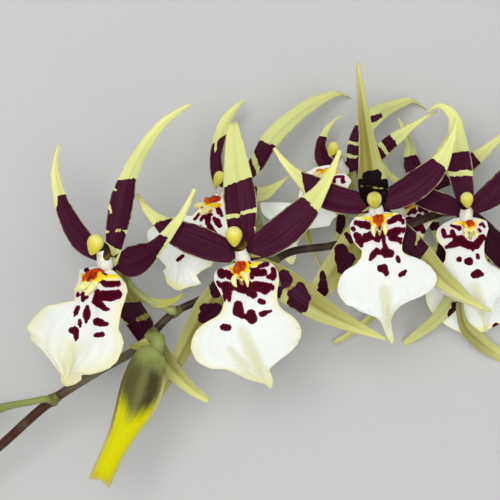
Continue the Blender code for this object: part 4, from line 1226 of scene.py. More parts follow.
BLOTCHES = {
    "bloom1": (
        (86.5, 267.5, 87, 270.5, 1.4, 2.6), (102, 281.5, 106, 284.5, 2.2, 2.4),
        (106, 284.5, 113, 284, 2.6, 3.0), (113, 284, 118, 283.8, 3.0, 2.8),
        (103, 295.5, 110, 296, 4.8, 5.4), (110, 296, 118, 294.5, 5.4, 4.2), (98, 293, 97, 301, 3.2, 4.6),
        (97.6, 290, 98, 294, 0.7, 2.6), (98, 303, 106, 309, 3.8, 2.2), (106, 309, 108.5, 309.3, 2.2, 1.2),
        (78.3, 294, 78, 295.5, 1.6, 1.6), (83, 294, 83.2, 300.5, 1.9, 1.5),
        (84, 297.5, 87.5, 297, 2.4, 1.2), (78.3, 307.5, 76.2, 313, 1.9, 2.2),
        (76.2, 313, 74.8, 316, 2.0, 0.7), (87.5, 306, 87, 312, 1.2, 3.5), (87, 312, 86.8, 317, 3.7, 3.4),
        (86.8, 317, 86.4, 322.8, 3.2, 0.7), (80, 320.5, 80, 323.5, 1.3, 2.0),
        (80, 323.5, 80.4, 326.4, 1.9, 0.9), (72.5, 330.5, 75, 330.5, 3.1, 3.8),
        (75.5, 331, 76.5, 337, 3.4, 2.2), (76.5, 337, 76.3, 340.6, 2.0, 0.6),
        (97.5, 322, 101, 323, 3.8, 3.4), (101, 323.4, 107, 324.2, 3.2, 1.7),
        (96.5, 335.5, 102.5, 334.5, 2.0, 2.3),
    ),
    "bloom2": (
        (221, 272.5, 222.5, 274.5, 3.8, 4.2), (226, 273.5, 229.5, 275.5, 3.0, 4.0),
        (230, 275, 232.6, 275, 3.0, 0.8), (262, 266, 266.5, 264, 2.0, 2.5),
        (252, 268.2, 262, 266.3, 0.9, 1.7), (252.5, 271.5, 255, 272, 4.0, 3.8),
        (255, 273, 263.5, 272.8, 3.6, 3.4), (250, 275, 252.5, 277.5, 1.2, 1.7),
        (273, 270.2, 274.2, 275.5, 2.4, 2.4), (267.5, 277, 273, 278.3, 1.4, 2.2),
        (271.5, 276, 272.5, 278.6, 2.4, 2.0), (218, 282.5, 222, 286, 1.5, 2.6),
        (226, 286, 227, 293, 4.6, 4.2), (231, 285.5, 231, 288, 3.2, 3.2), (225, 296, 224.6, 301, 2.2, 0.6),
        (229, 294, 229.4, 300.6, 3.0, 1.1), (233, 287.2, 240, 288.5, 1.8, 4.0),
        (240, 288.5, 248, 289.5, 4.0, 5.0), (250, 292, 254, 295, 4.5, 3.3),
        (256, 286.5, 266, 288, 5.0, 5.2), (263, 290, 265.4, 291.7, 3.0, 2.6),
        (270, 286.5, 272.3, 287.5, 3.2, 2.3), (272, 288, 272.2, 290.6, 1.6, 0.5),
        (250, 285, 250.6, 282.3, 1.5, 0.6), (237.7, 281.5, 238, 287, 1.2, 2.0),
        (244.6, 281, 245.4, 287, 0.9, 1.8), (260, 301, 263.5, 302.5, 2.4, 2.2),
        (238, 305, 238, 311, 4.0, 5.3), (239, 313, 242, 316, 4.4, 2.5), (251, 314, 252, 319, 4.4, 5.0),
        (245, 316, 250, 318, 2.0, 4.0), (262, 314.2, 265, 313, 2.6, 2.3),
        (265, 312.8, 270.7, 311.1, 2.2, 1.0), (223.2, 327, 228, 327.6, 3.0, 3.2),
    ),
    "bloom3": (
        (356, 223, 362, 225, 2.2, 3.2), (362, 225, 368, 226, 3.4, 3.3),
        (366, 223.5, 369.6, 224.5, 2.0, 1.8), (352.3, 228.3, 353.8, 229.8, 1.6, 1.8),
        (356.5, 235.5, 359, 238, 3.0, 4.0), (360, 241, 361.3, 245.6, 4.6, 1.8),
        (363, 239, 368, 237, 3.8, 4.0), (368, 236, 370, 234.3, 3.0, 2.2), (370, 237, 374, 238.5, 2.5, 1.6),
        (377.3, 232, 377, 238.5, 0.9, 2.6), (376.5, 239.5, 378, 240, 2.6, 2.2),
        (382.3, 231.5, 382.3, 236.5, 1.1, 2.8), (383.5, 236.5, 384.2, 243, 2.0, 1.5),
        (384.2, 243, 386, 250, 1.5, 2.6), (379, 237.5, 381, 237, 1.8, 1.8),
        (391, 234, 396, 232.5, 4.2, 4.8), (396, 232, 399, 230.5, 4.4, 3.0), (393, 237, 399, 239, 4.6, 3.2),
        (399.5, 240, 400.5, 242.8, 2.4, 1.2), (401, 230, 403.5, 231.5, 2.2, 0.9),
        (404.3, 228.5, 402.8, 233, 0.8, 0.9), (389.5, 222.5, 395, 219.5, 2.4, 3.0),
        (395, 219.5, 400, 216.5, 3.0, 1.9), (400, 216, 400.3, 220, 1.6, 2.0),
        (402.8, 221, 402.8, 223, 1.7, 1.4), (376.3, 250, 373, 255, 2.0, 2.8),
        (373, 255, 370.2, 259.2, 2.8, 1.5), (376.5, 251.5, 382, 253, 2.6, 2.2),
        (384, 251.5, 390, 253.5, 3.6, 3.7), (386, 254.5, 391, 255.5, 3.2, 1.9),
        (397.2, 257.5, 398.6, 261, 1.6, 1.9), (380.5, 268.5, 384, 268.5, 3.5, 4.2),
        (384.5, 270, 386.5, 273.7, 3.6, 2.1), (400.3, 275, 402.8, 273.5, 1.9, 2.2),
        (403, 273.5, 405.4, 271, 2.2, 1.0),
    ),
    "bloom4": (
        (443.5, 231, 444.5, 235.5, 2.0, 2.2), (445, 236.8, 452, 236, 1.3, 1.6),
        (452.5, 232.5, 453.5, 236, 2.3, 2.5), (451, 225.5, 459, 228.5, 0.7, 2.1),
        (446.5, 247.6, 456, 243, 1.4, 4.0), (457, 240.5, 461, 239, 4.4, 3.6),
        (460, 241.5, 468, 245, 4.2, 3.8), (468, 245.5, 476, 246, 3.8, 3.4),
        (477, 243.5, 482, 238, 3.6, 3.2), (472.5, 248, 473, 250.6, 1.6, 0.7),
        (480, 225, 481.8, 224, 1.2, 1.3), (482.5, 224.5, 484, 227, 1.2, 1.0),
        (479, 230, 480, 231.5, 1.1, 1.2), (459, 259.3, 459, 260, 2.3, 2.2),
        (467.5, 261.5, 469.5, 261.5, 3.5, 3.8), (477.3, 255.3, 477.6, 257.5, 1.5, 1.8),
        (474, 275, 478, 273.5, 3.2, 4.0), (478, 273.5, 481.8, 274.5, 3.6, 1.8),
    ),
    "bloom5": (
        (199, 214.5, 195, 219.5, 1.3, 1.1), (204, 216, 201.2, 220, 1.6, 1.2),
        (205.5, 217.5, 210.5, 214.8, 1.8, 1.8), (208.5, 218.5, 208.2, 224, 2.6, 2.2),
        (208.5, 224, 211, 229.5, 2.2, 2.8), (210.5, 229, 216, 234.5, 2.6, 1.7),
        (206, 219, 207, 222, 1.5, 1.4), (214.2, 218.5, 217.5, 222.5, 1.4, 3.2),
        (217.5, 222.5, 220, 226, 3.2, 2.1), (218, 209, 219.5, 212, 1.9, 2.6),
        (219.5, 212, 222, 216, 2.6, 1.1), (194, 226.8, 194.4, 227.4, 1.0, 1.1),
        (200.3, 226.3, 200, 228.5, 1.0, 1.8), (178, 260, 183, 256, 1.6, 1.5),
    ),
    "bloom6": (
        (342.7, 181.2, 343, 182, 2.1, 2.1), (336, 177.4, 343, 177.4, 1.0, 1.2),
        (334.3, 179, 334, 183, 1.2, 1.4), (318, 181, 314, 187, 3.0, 3.0), (327, 184, 324, 190, 3.0, 2.5),
        (310, 190, 306, 194, 2.5, 2.0),
    ),
    "bloom7": (
        (406, 207, 409, 213, 1.8, 2.2), (413, 206, 414.5, 212, 1.6, 2.4), (419.5, 204, 421, 210, 1.6, 2.6),
        (425.5, 206, 426, 212, 1.6, 2.2), (408, 219, 415, 220.5, 2.0, 2.8),
        (419, 216.5, 424, 220, 2.2, 2.4), (410, 228, 417.5, 227.5, 3.2, 3.8),
        (421.5, 226, 423.5, 231, 2.2, 2.6),
    ),
    "bloom8": ((496, 326, 496, 328, 3.0, 3.2),),
}
# White nicks that cut into the blotches
NOTCHES = {
    "bloom2": (
        (221.2, 290, 222.3, 293.5, 0.7, 0.9), (257.5, 269.6, 263, 269.0, 0.6, 0.7),
        (235, 291, 235, 296, 1.0, 1.6),
    ),
    "bloom3": ((398.5, 236, 404, 236, 1.2, 2.3), (362, 231, 362.3, 235.8, 3.0, 0.9)),
}
# Folds, where the lip is creased, with painted shade along each crease: strokes on the measuring grid, like
# the blotches
FOLDS = {
    "bloom1": ((70, 345, 66.5, 366, 2.2, 5.6), (66, 376, 74, 378, 4.0, 4.0)),
    "bloom2": (
        (243, 332, 250, 350, 2.0, 4.0), (250, 350, 260, 372, 4.0, 5.2), (230, 351, 246, 368, 1.2, 3.6),
        (246, 374, 262, 380, 2.0, 3.4),
    ),
    "bloom3": ((384, 291, 390, 324, 2.2, 3.6),),
    "bloom4": ((475, 285, 483, 314, 1.5, 3),),
}
# How broad the cream margin of each lip is
CREAM = {"bloom1": 1.2, "bloom2": 0.95, "bloom3": 0.35, "bloom4": 0.3, "bloom6": 0.4}
# How brightly each lip glows of itself: painted light that lifts the rear lips out of the shade of the blooms
# above
GLOWS = {"bloom5": 0.24, "bloom6": 0.30, "bloom7": 0.10, "bloom8": 0.20}
# How much each lip curls down to its sides
CURLS = {"bloom1": 0.06}
PLAIN_CREAM = 0.7
LIP_GRID = (128, 96)
REAR_LIP = (84, 56)
LIP_THICKNESS = 0.66 * MM
FULL_HALF = 8 * MM
CURL = 0.16
CURL_SPAN = 20 * MM
LIP_RUFFLE = 0.7 * MM
RUFFLE_TURNS = 17
FRILL_SHARE = 0.35
FRILL_TURNS = 43
GROOVE_DEPTH = 1.2 * MM
GROOVE_SPREAD = 0.22
PLEAT = 0.13 * MM
PLEAT_TURNS = 21
FOLD_DEPTH = 0.7 * MM
FOLD_SPREAD = 1.5
BLOTCH_SPREAD = 0.20

LIP_WHITE = colour(0.860, 0.885, 0.845)
LIP_IVORY = colour(0.790, 0.770, 0.640)
LIP_CREAM = colour(0.860, 0.810, 0.450)
LIP_TIP = colour(0.880, 0.840, 0.330)
LIP_SHADE = colour(0.580, 0.590, 0.400)
LIP_LILAC = colour(0.700, 0.610, 0.650)
LIP_FOLD_SHADE = colour(0.660, 0.640, 0.340)
BLOTCH_DEEP = colour(0.050, 0.0001, 0.006)
BLOTCH_EDGE = colour(0.100, 0.0006, 0.020)

lip_skin, start, surface = material("lip_skin")
length = start.note("along")
width = start.note("across")
rim = start.note("rim")
wobble = start.mottle(600, 3)
fan = start.streaks(24.0, 1.2)
clouds = start.mottle(110, 3)
white = (clouds + fan * 0.8).rise(-0.15, 0.45)
face = (white * 0.5).blend(LIP_WHITE, LIP_IVORY)
# Painted shade in the pleats of the lower lip, along its fanned streaks
pleat_shade = (fan + start.mottle(70, 2) * 1.2).rise(0.15, 0.60) * length.rise(0.40, 0.65)
face = (pleat_shade * 0.22).blend(face, LIP_SHADE)
upper = length.rise(0.42, 0.22)
face = (upper * 0.35).blend(face, LIP_IVORY)
# Painted shade down the groove in the middle of the lower lip
groove = abs(width + 0.03).rise(0.16, 0.03) * length.rise(0.50, 0.72)
face = (groove * 0.25).blend(face, LIP_SHADE)
# Painted shade along the folds
fold = (start.note("fold") + wobble * 2.0).rise(3.4, -1.8)
face = (fold * 0.7).blend(face, LIP_FOLD_SHADE)
face = ((length + wobble * 0.05).rise(0.88, 0.97) * 0.8).blend(face, LIP_TIP)
cream_edge = (rim / (start.note("cream") * (upper + 1.0)) + wobble * 1.2).rise(1.5, 0.3)
cream_edge = cream_edge * length.rise(0.05, 0.2)
face = (cream_edge * 0.8).blend(face, LIP_CREAM)
far_edge = (rim / start.note("cream") + wobble * 3.0).rise(6.5, 0.5) * length.rise(0.05, 0.2)
face = (far_edge * start.note("cream") * 0.42).blend(face, LIP_CREAM)
sallow = start.note("cream").rise(0.96, 1.2) * length.rise(0.45, 0.80) * 0.30
face = sallow.blend(face, LIP_CREAM)
mark = start.note("mark")
face = (mark.rise(1.7, 0.3) * upper * 0.45).blend(face, LIP_LILAC)
edge = mark + wobble * 0.9 + start.mottle(2400, 2) * 0.2
blotch = edge.rise(0.13, -0.13)
crimson = (edge + fan * 0.8).rise(-1.4, -0.1).blend(BLOTCH_DEEP, BLOTCH_EDGE)
face = blotch.blend(face, crimson)
surface({
    "Base Color": face,
    # The glow is painted light: the lip shines though it is no lamp
    "Emission Color": start.note("glow").blend(colour(0, 0, 0), face),
    "Emission Strength": 1.0,
    "Roughness": 0.54 + start.mottle(900, 2) * 0.18,
    "Normal": start.relief(fan + start.mottle(3000, 2) * 0.4, 0.00018),
    "Specular IOR Level": 0.04,
})

CALLUS_DARK = colour(0.070, 0.006, 0.002)
CALLUS_RED = colour(0.230, 0.004, 0.0)
CALLUS_ORANGE = colour(0.560, 0.060, 0.0)
CALLUS_AMBER = colour(0.800, 0.290, 0.002)
CALLUS_YELLOW = colour(0.950, 0.700, 0.010)
CALLUS_CREAM = colour(0.960, 0.880, 0.380)
CALLUS_OLIVE = colour(0.340, 0.230, 0.015)

callus_skin, start, surface = material("callus_skin")
warmth = start.note("warmth") + start.mottle(700, 3, roughness=0.7) * 0.48
glow = start.node(
    "ShaderNodeValToRGB",
    {"stops": [(0.02, CALLUS_OLIVE), (0.14, CALLUS_CREAM), (0.24, CALLUS_CREAM), (0.34, CALLUS_YELLOW),
               (0.44, CALLUS_YELLOW), (0.54, CALLUS_AMBER), (0.68, CALLUS_ORANGE), (0.90, CALLUS_RED),
               (1.00, CALLUS_DARK)]},
    {"Fac": warmth},
)
surface({
    "Base Color": glow,
    "Roughness": 0.36 + start.mottle(1500, 2) * 0.2,
    "Normal": start.relief(start.mottle(1400, 3), 0.00025),
    "Specular IOR Level": 0.10,
})

# The crest of each lip, on the measuring grid. A lump has two ends, a radius, its height over the
# sheet in millimetres and its warmth, from olive and cream over yellow and orange to dark red. A
# tooth has its warmth and height, then its way with the radius at each place.
LUMPS = {
    "bloom1": (
        (86, 277.5, 96, 271.5, 4.4, 1.6, 0.70), (84.5, 280.5, 89, 277, 3.4, 1.5, 0.68),
        (93, 270.5, 102, 270.5, 2.4, 2.2, 0.86), (97, 272.5, 93.5, 279, 2.4, 2.0, 0.72),
        (92, 272.5, 87.5, 281, 1.3, 3.2, 0.90), (96.5, 271.5, 93, 278, 1.1, 3.0, 0.88),
        (82, 274.5, 83.5, 277, 2.2, 1.2, 0.38), (99.5, 273.5, 101, 278, 2.8, 1.6, 0.40),
        (93.5, 281.5, 100, 279.5, 2.6, 1.6, 0.38), (103, 276, 111, 276, 2.3, 1.1, 0.40),
        (111, 276, 118.5, 276.8, 1.8, 0.9, 0.36), (103, 279, 119, 279.8, 1.5, 0.7, 0.20),
        (102.8, 272.6, 106.4, 274.4, 1.1, 2.6, 1.0), (84, 283.5, 92, 284.5, 3.0, 1.5, 0.22),
        (91, 285.5, 96, 284.5, 2.6, 1.3, 0.22),
    ),
    "bloom2": (
        (239.5, 264.5, 237.5, 270.5, 4.6, 2.2, 0.70), (243, 263, 243.5, 267.5, 3.2, 2.6, 0.74),
        (236.5, 268.5, 241.5, 270.5, 3.4, 1.8, 0.68), (237, 272.5, 238.5, 274, 2.4, 1.8, 0.66),
        (239.6, 262.2, 240.3, 267.5, 1.5, 3.7, 0.93), (243.8, 262, 244.2, 265, 1.2, 3.6, 0.86),
        (246.8, 262.5, 248.3, 266, 2.3, 2.2, 0.42), (245.2, 268, 248.3, 271, 2.8, 2.0, 0.40),
        (250, 263.5, 251.5, 265, 1.6, 1.4, 0.42), (252, 264.6, 259, 263, 2.1, 0.9, 0.38),
        (251, 267, 257, 266.4, 1.2, 0.6, 0.20), (231.8, 270.3, 235, 273, 2.1, 1.3, 0.46),
        (229.5, 267.6, 234, 267, 1.5, 0.9, 0.40), (242.5, 273.5, 247, 275.5, 3.1, 1.8, 0.24),
        (235, 275.5, 236, 277, 2.0, 1.6, 0.24), (248.7, 261.8, 250.8, 263.4, 0.9, 3.0, 1.0),
        (240.3, 277, 241.8, 278.3, 1.2, 2.0, 1.0),
    ),
    "bloom3": (
        (378, 217, 378.3, 221.5, 5.8, 1.4, 0.70), (378.5, 223, 379, 226, 2.6, 1.8, 0.66),
        (377.6, 215.3, 378, 219.5, 1.9, 3.3, 0.92), (372.6, 219, 372.3, 223.5, 2.4, 1.3, 0.46),
        (384.6, 219, 385, 222.5, 2.0, 1.3, 0.38), (364.5, 218, 371, 218.8, 1.9, 1.0, 0.40),
        (355, 217.8, 364, 218, 1.3, 0.7, 0.22), (384.5, 215.8, 391, 214.4, 2.1, 1.0, 0.38),
        (391, 214, 397, 213.6, 1.3, 0.7, 0.20), (373.5, 226, 374, 227, 2.2, 1.4, 0.22),
        (384.3, 225, 384.5, 226, 2.2, 1.5, 0.24), (379.3, 227.3, 379.5, 229, 1.2, 2.4, 1.0),
    ),
    "bloom4": (
        (468, 222, 471, 224.5, 4.2, 1.5, 0.72), (468.3, 221, 469, 223.5, 1.8, 3.0, 0.84),
        (463.5, 222, 465, 225.5, 2.8, 1.3, 0.50), (470.3, 227, 470.6, 229, 1.8, 1.4, 0.54),
        (453.5, 223.4, 460, 222.4, 2.0, 0.9, 0.26), (474, 221.8, 481, 220, 1.9, 0.9, 0.22),
        (474.5, 224.5, 475, 226, 1.8, 1.0, 0.30),
    ),
    "bloom5": (
        (206.5, 199.5, 208, 203, 3.2, 1.7, 0.66), (210, 200, 218, 199, 3.4, 1.8, 0.74),
        (213, 196.5, 219, 197.5, 1.8, 2.6, 0.88), (206, 203.5, 209, 203, 2.4, 1.9, 0.68),
        (209, 205.5, 219.5, 204.5, 2.3, 1.5, 0.42), (215, 206.5, 220, 204.8, 2.2, 1.3, 0.46),
        (201.8, 207.8, 202.2, 207.4, 1.0, 2.8, 0.90), (209.8, 211.4, 210.8, 210.8, 1.0, 2.8, 0.80),
    ),
    "bloom6": (
        (318.5, 171.5, 322, 171.5, 3.2, 1.6, 0.62), (323.5, 172, 327, 172, 2.8, 1.6, 0.40),
        (325.5, 169.5, 330.5, 170, 2.2, 2.0, 0.48), (331, 170, 337, 172.5, 2.2, 1.1, 0.44),
    ),
    "bloom7": ((412, 203, 407, 208, 2.6, 1.4, 0.70), (413, 207, 416, 203, 2.0, 1.3, 0.44)),
    "bloom8": ((469, 262, 469, 268, 2.8, 1.3, 0.70), (465, 265, 473, 265, 2.0, 1.0, 0.42)),
}
TEETH = {
    "bloom1": (
        (0.17, 1.7, (85.5, 284.5, 3.6), (81.5, 286.7, 4.0), (77.8, 288.4, 2.8), (74.6, 289.2, 1.0)),
        (0.19, 2.0, (94, 284.5, 3.8), (91, 288.2, 4.0), (88, 292, 2.8), (85, 295.2, 1.1)),
    ),
    "bloom2": (
        (0.20, 1.8, (236.5, 275.5, 2.2), (233.8, 279.5, 2.9), (234.2, 283.2, 2.5), (237, 287, 0.6)),
        (0.20, 2.0, (244.5, 274.5, 3.0), (246.6, 278, 2.9), (247.2, 282, 2.1), (247.9, 287.4, 0.6)),
        (0.02, 1.2, (240.5, 276, 1.6), (241.2, 280, 2.1), (242.8, 285.2, 0.9)),
    ),
    "bloom3": (
        (0.18, 1.8, (373.8, 226, 2.5), (373, 229.5, 2.4), (373.4, 233, 1.8), (374.8, 236.8, 0.5)),
        (0.18, 1.8, (384, 224.5, 2.3), (385, 228, 2.7), (385.4, 231.5, 2.1), (385, 235.3, 0.6)),
        (0.05, 1.2, (379.6, 229, 2.0), (379.6, 232.5, 1.7), (379.6, 236, 0.6)),
    ),
    "bloom4": (
        (0.14, 1.7, (467, 228, 2.4), (465.6, 231.5, 2.8), (466.2, 235, 2.3), (467.3, 238.2, 0.8)),
        (0.14, 1.7, (473, 228.5, 2.0), (475.2, 232, 2.5), (476, 235, 2.2), (477, 237.8, 1.0)),
        (0.04, 1.0, (470.6, 230, 1.5), (470.8, 235, 1.7), (470.4, 240, 1.0)),
    ),
    "bloom5": (
        (0.18, 1.6, (204.5, 204.8, 3.0), (200, 205.4, 3.5), (196.5, 205.9, 2.7), (194.3, 206, 1.5)),
        (0.18, 1.7, (211.5, 208.5, 3.0), (207.5, 210.2, 3.4), (203.5, 212.4, 2.9), (200, 214.8, 1.5)),
    ),
    "bloom6": (
        (0.18, 1.5, (319, 174.5, 3.2), (315, 175.5, 3.3), (312, 176.2, 1.5)),
        (0.18, 1.5, (325, 175.5, 3.2), (320.5, 178, 3.6), (317, 180, 2.3)),
    ),
    "bloom7": ((0.16, 1.3, (409, 208, 1.8), (406, 212, 2.0), (404, 216, 0.6)),),
    "bloom8": (
        (0.16, 1.3, (466, 268, 1.8), (464, 273, 2.0), (463, 277, 0.6)),
        (0.16, 1.3, (471, 268, 1.8), (472, 273, 2.0), (472, 277, 0.6)),
    ),
}

NO_REACH = 0.6
LEAST_SHOWN = 0.3
EDGE_ROUNDS = 4
EDGE_STRETCH = 1.35
EDGE_SLACK = 1.6 * MM
ROUND_LIMITS = (0.5, 2.0)
LUMP_DETAIL = (16, 10)
LUMP_FLATNESS = 0.85
TOOTH_RINGS = 20
TOOTH_AROUND = 12
CREST_GRAIN = 0.25 * MM
CREST_BLUR = 0.20 * MM
CREST_SOFTNESS = 0.5
CREST_ROUNDS = 2


def edge_reach(at, way, outline):
    """How far it is from a point to an outline in one direction, in grid steps."""
    starts = np.array(outline, float)
    spans = np.roll(starts, -1, axis=0) - starts
    cross = way[0] * spans[:, 1] - way[1] * spans[:, 0]
    cross = np.where(np.abs(cross) < 1e-9, 1e-9, cross)
    offset = starts - at
    far = (offset[:, 0] * spans[:, 1] - offset[:, 1] * spans[:, 0]) / cross
    share = (offset[:, 0] * way[1] - offset[:, 1] * way[0]) / cross
    hits = far[(share >= 0) & (share < 1) & (far > 0)]
    return hits.min() if len(hits) % 2 else NO_REACH


def lip_halves(bloom, here, side, out, rows, curl):
    """The width on either side of the middle line at each row, in metres.

    Where the lip's edge is given, each row is made longer or shorter until it ends there.
    """
    outline = LIP_OUTLINES[bloom]
    tables = [[(t, a) for t, a, _ in outline], [(t, b) for t, _, b in outline]]
    halves = np.array([[profile(table, k / rows) for k in range(rows + 1)] for table in tables])
    halves *= step_at(here[:, 2])
    if bloom in LIP_EDGES:
        at = on_grid(here)
        limit = halves * EDGE_STRETCH + EDGE_SLACK
        way = np.stack((side[:, 0], -side[:, 1]), axis=1)
        way /= np.linalg.norm(way, axis=1)[:, None]
        for hand, sign in enumerate((1, -1)):
            reach = np.array([edge_reach(spot, sign * aim, LIP_EDGES[bloom]) for spot, aim in zip(at, way)])
            for _ in range(EDGE_ROUNDS):
                wide = halves[hand][:, None]
                edge = here + sign * side * wide - out * curl * wide**2 / CURL_SPAN
                shown = np.maximum(np.sum((on_grid(edge) - at) * way * sign, axis=1), LEAST_SHOWN)
                halves[hand] = np.minimum(halves[hand] * np.clip(reach / shown, *ROUND_LIMITS), limit[hand])
        middle = halves.copy()
        middle[:, 1:-1] = (halves[:, :-2] + 2 * halves[:, 1:-1] + halves[:, 2:]) / 4
        halves = middle
    return halves


def callus(bloom, places, upward):
    """The crest between the shoulders of the lip: lumps, wings and teeth that stand on its sheet."""
    at = on_grid(places)

    def spot(x, y, up):
        near = np.argmin(np.hypot(at[:, 0] - x, at[:, 1] - y))
        return seen(x, y, places[near, 2] / MM + upward * up)

    made = []
    strokes = []
    for x0, y0, x1, y1, radius, up, warmth in LUMPS[bloom]:
        first, last = spot(x0, y0, up), spot(x1, y1, up)
        size = radius * STEP
        radii = (size, LUMP_FLATNESS * size, (last - first).length / 2 + size)
        made.append(ball("lump", (first + last) / 2, radii, last - first, callus_skin, LUMP_DETAIL))
        strokes.append((first, last, size, size, warmth))
    for warmth, up, *way in TEETH[bloom]:
        line = [spot(x, y, up) for x, y, _ in way]
        sizes = [radius * STEP for _, _, radius in way]
        tooth = rod("tooth", line, sizes, TOOTH_RINGS, TOOTH_AROUND)
        tooth.data.materials.append(callus_skin)
        made.append(tooth)
        strokes += [(*ends, warmth) for ends in zip(line, line[1:], sizes, sizes[1:])]
    crest = joined("crest", made)
    fuse = crest.modifiers.new("fuse", "REMESH")
    fuse.mode = "VOXEL"
    fuse.voxel_size = CREST_GRAIN
    soften = crest.modifiers.new("soften", "SMOOTH")
    soften.factor = CREST_SOFTNESS
    soften.iterations = CREST_ROUNDS
    bpy.ops.object.modifier_apply(modifier="fuse")
    bpy.ops.object.modifier_apply(modifier="soften")
    spots = spots_of(crest)
    total = np.zeros(len(spots))
    weights = np.zeros(len(spots))
    for first, last, r0, r1, warmth in strokes:
        axis = np.array(last - first)
        share = np.clip((spots - np.array(first)) @ axis / max(axis @ axis, 1e-12), 0, 1)
        away = np.linalg.norm(spots - np.array(first) - share[:, None] * axis, axis=1)
        away = away - (r0 + (r1 - r0) * share)
        weight = np.exp(-np.clip(away, -1 * MM, 3 * MM) / CREST_BLUR)
        total += weight * warmth
        weights += weight
    jot(crest, "warmth", total / weights)
    return crest


for bloom, points in LIPS.items():
    facing = Vector(BLOOM_CENTRES[bloom][1]).normalized()
    rows, columns = REAR_LIP if bloom in REAR_BLOOMS else LIP_GRID
    line = [seen(*p) for p in points]
    here, side, out, _ = frames_along(line, facing, rows, BLADE_MIDDLE, BLADE_REACH)
    curl = CURLS.get(bloom, CURL)
    halves = lip_halves(bloom, here, side, out, rows, curl)
    piece, u, t = fresh_grid(bloom + "_lip_sheet", columns, rows)
    s = u * 2 - 1
    k = np.rint(t * rows).astype(int)
    half = np.where(s > 0, halves[0, k], halves[1, k])
    wide = s * half
    full = np.clip(half / FULL_HALF, 0, 1)
    fall = -curl * wide**2 / CURL_SPAN
    groove = -GROOVE_DEPTH * full * np.exp(-((s / GROOVE_SPREAD) ** 2))
    groove *= np.sin(np.pi * np.minimum(t * 1.1, 1))
    pleats = PLEAT * full * np.sin(s * PLEAT_TURNS + t * 4) * np.clip((t - 0.3) * 3, 0, 1) * (1 - s**4)
    ruffle = LIP_RUFFLE * np.abs(s) ** 3 * np.sin(t * RUFFLE_TURNS + s * 2) * np.minimum(t * 2.5, 1)
    frill = FRILL_SHARE * LIP_RUFFLE * np.abs(s) ** 6 * np.sin(t * FRILL_TURNS + s * 3)
    ruffle += frill * np.clip(t * 2 - 0.5, 0, 1)
    places = here[k] + side[k] * wide[:, None] + out[k] * (fall + groove + pleats + ruffle * full)[:, None]
    at = on_grid(places)
    fold = np.full(len(t), MARK_LIMIT)
    if bloom in FOLDS:
        fold = np.min([stroke(at, *one) for one in FOLDS[bloom]], axis=0) * STEP / MM
        dent = np.exp(-((np.maximum(fold + 0.5, 0) / FOLD_SPREAD) ** 2))
        places -= out[k] * (FOLD_DEPTH * full * dent)[:, None]
    rim = np.minimum((1 - np.abs(s)) * half, (1 - t) * lengths_of(line)[-1]) / MM
    marks = np.full(len(t), MARK_LIMIT)
    if bloom in BLOTCHES:
        marks = np.min([stroke(at, *one) for one in BLOTCHES[bloom]], axis=0) * STEP / MM
    for one in NOTCHES.get(bloom, ()):
        marks = np.maximum(marks, -stroke(at, *one) * STEP / MM)
    marks -= BLOTCH_SPREAD
    lay(piece, hold_above(places), along=t, across=s, rim=rim, mark=np.clip(marks, -MARK_LIMIT, MARK_LIMIT),
        kind=float(bloom[-1]), fold=np.clip(fold, -MARK_LIMIT, MARK_LIMIT),
        cream=CREAM.get(bloom, PLAIN_CREAM), glow=GLOWS.get(bloom, 0.0))
    crest = callus(bloom, places, math.copysign(1, facing.z))
    bpy.ops.object.select_all(action="DESELECT")
    thicken(piece, LIP_THICKNESS)
    piece.data.materials.append(lip_skin)
    finish_piece(joined(bloom + "_lip_dressed", [piece, crest]), bloom + "_lip")
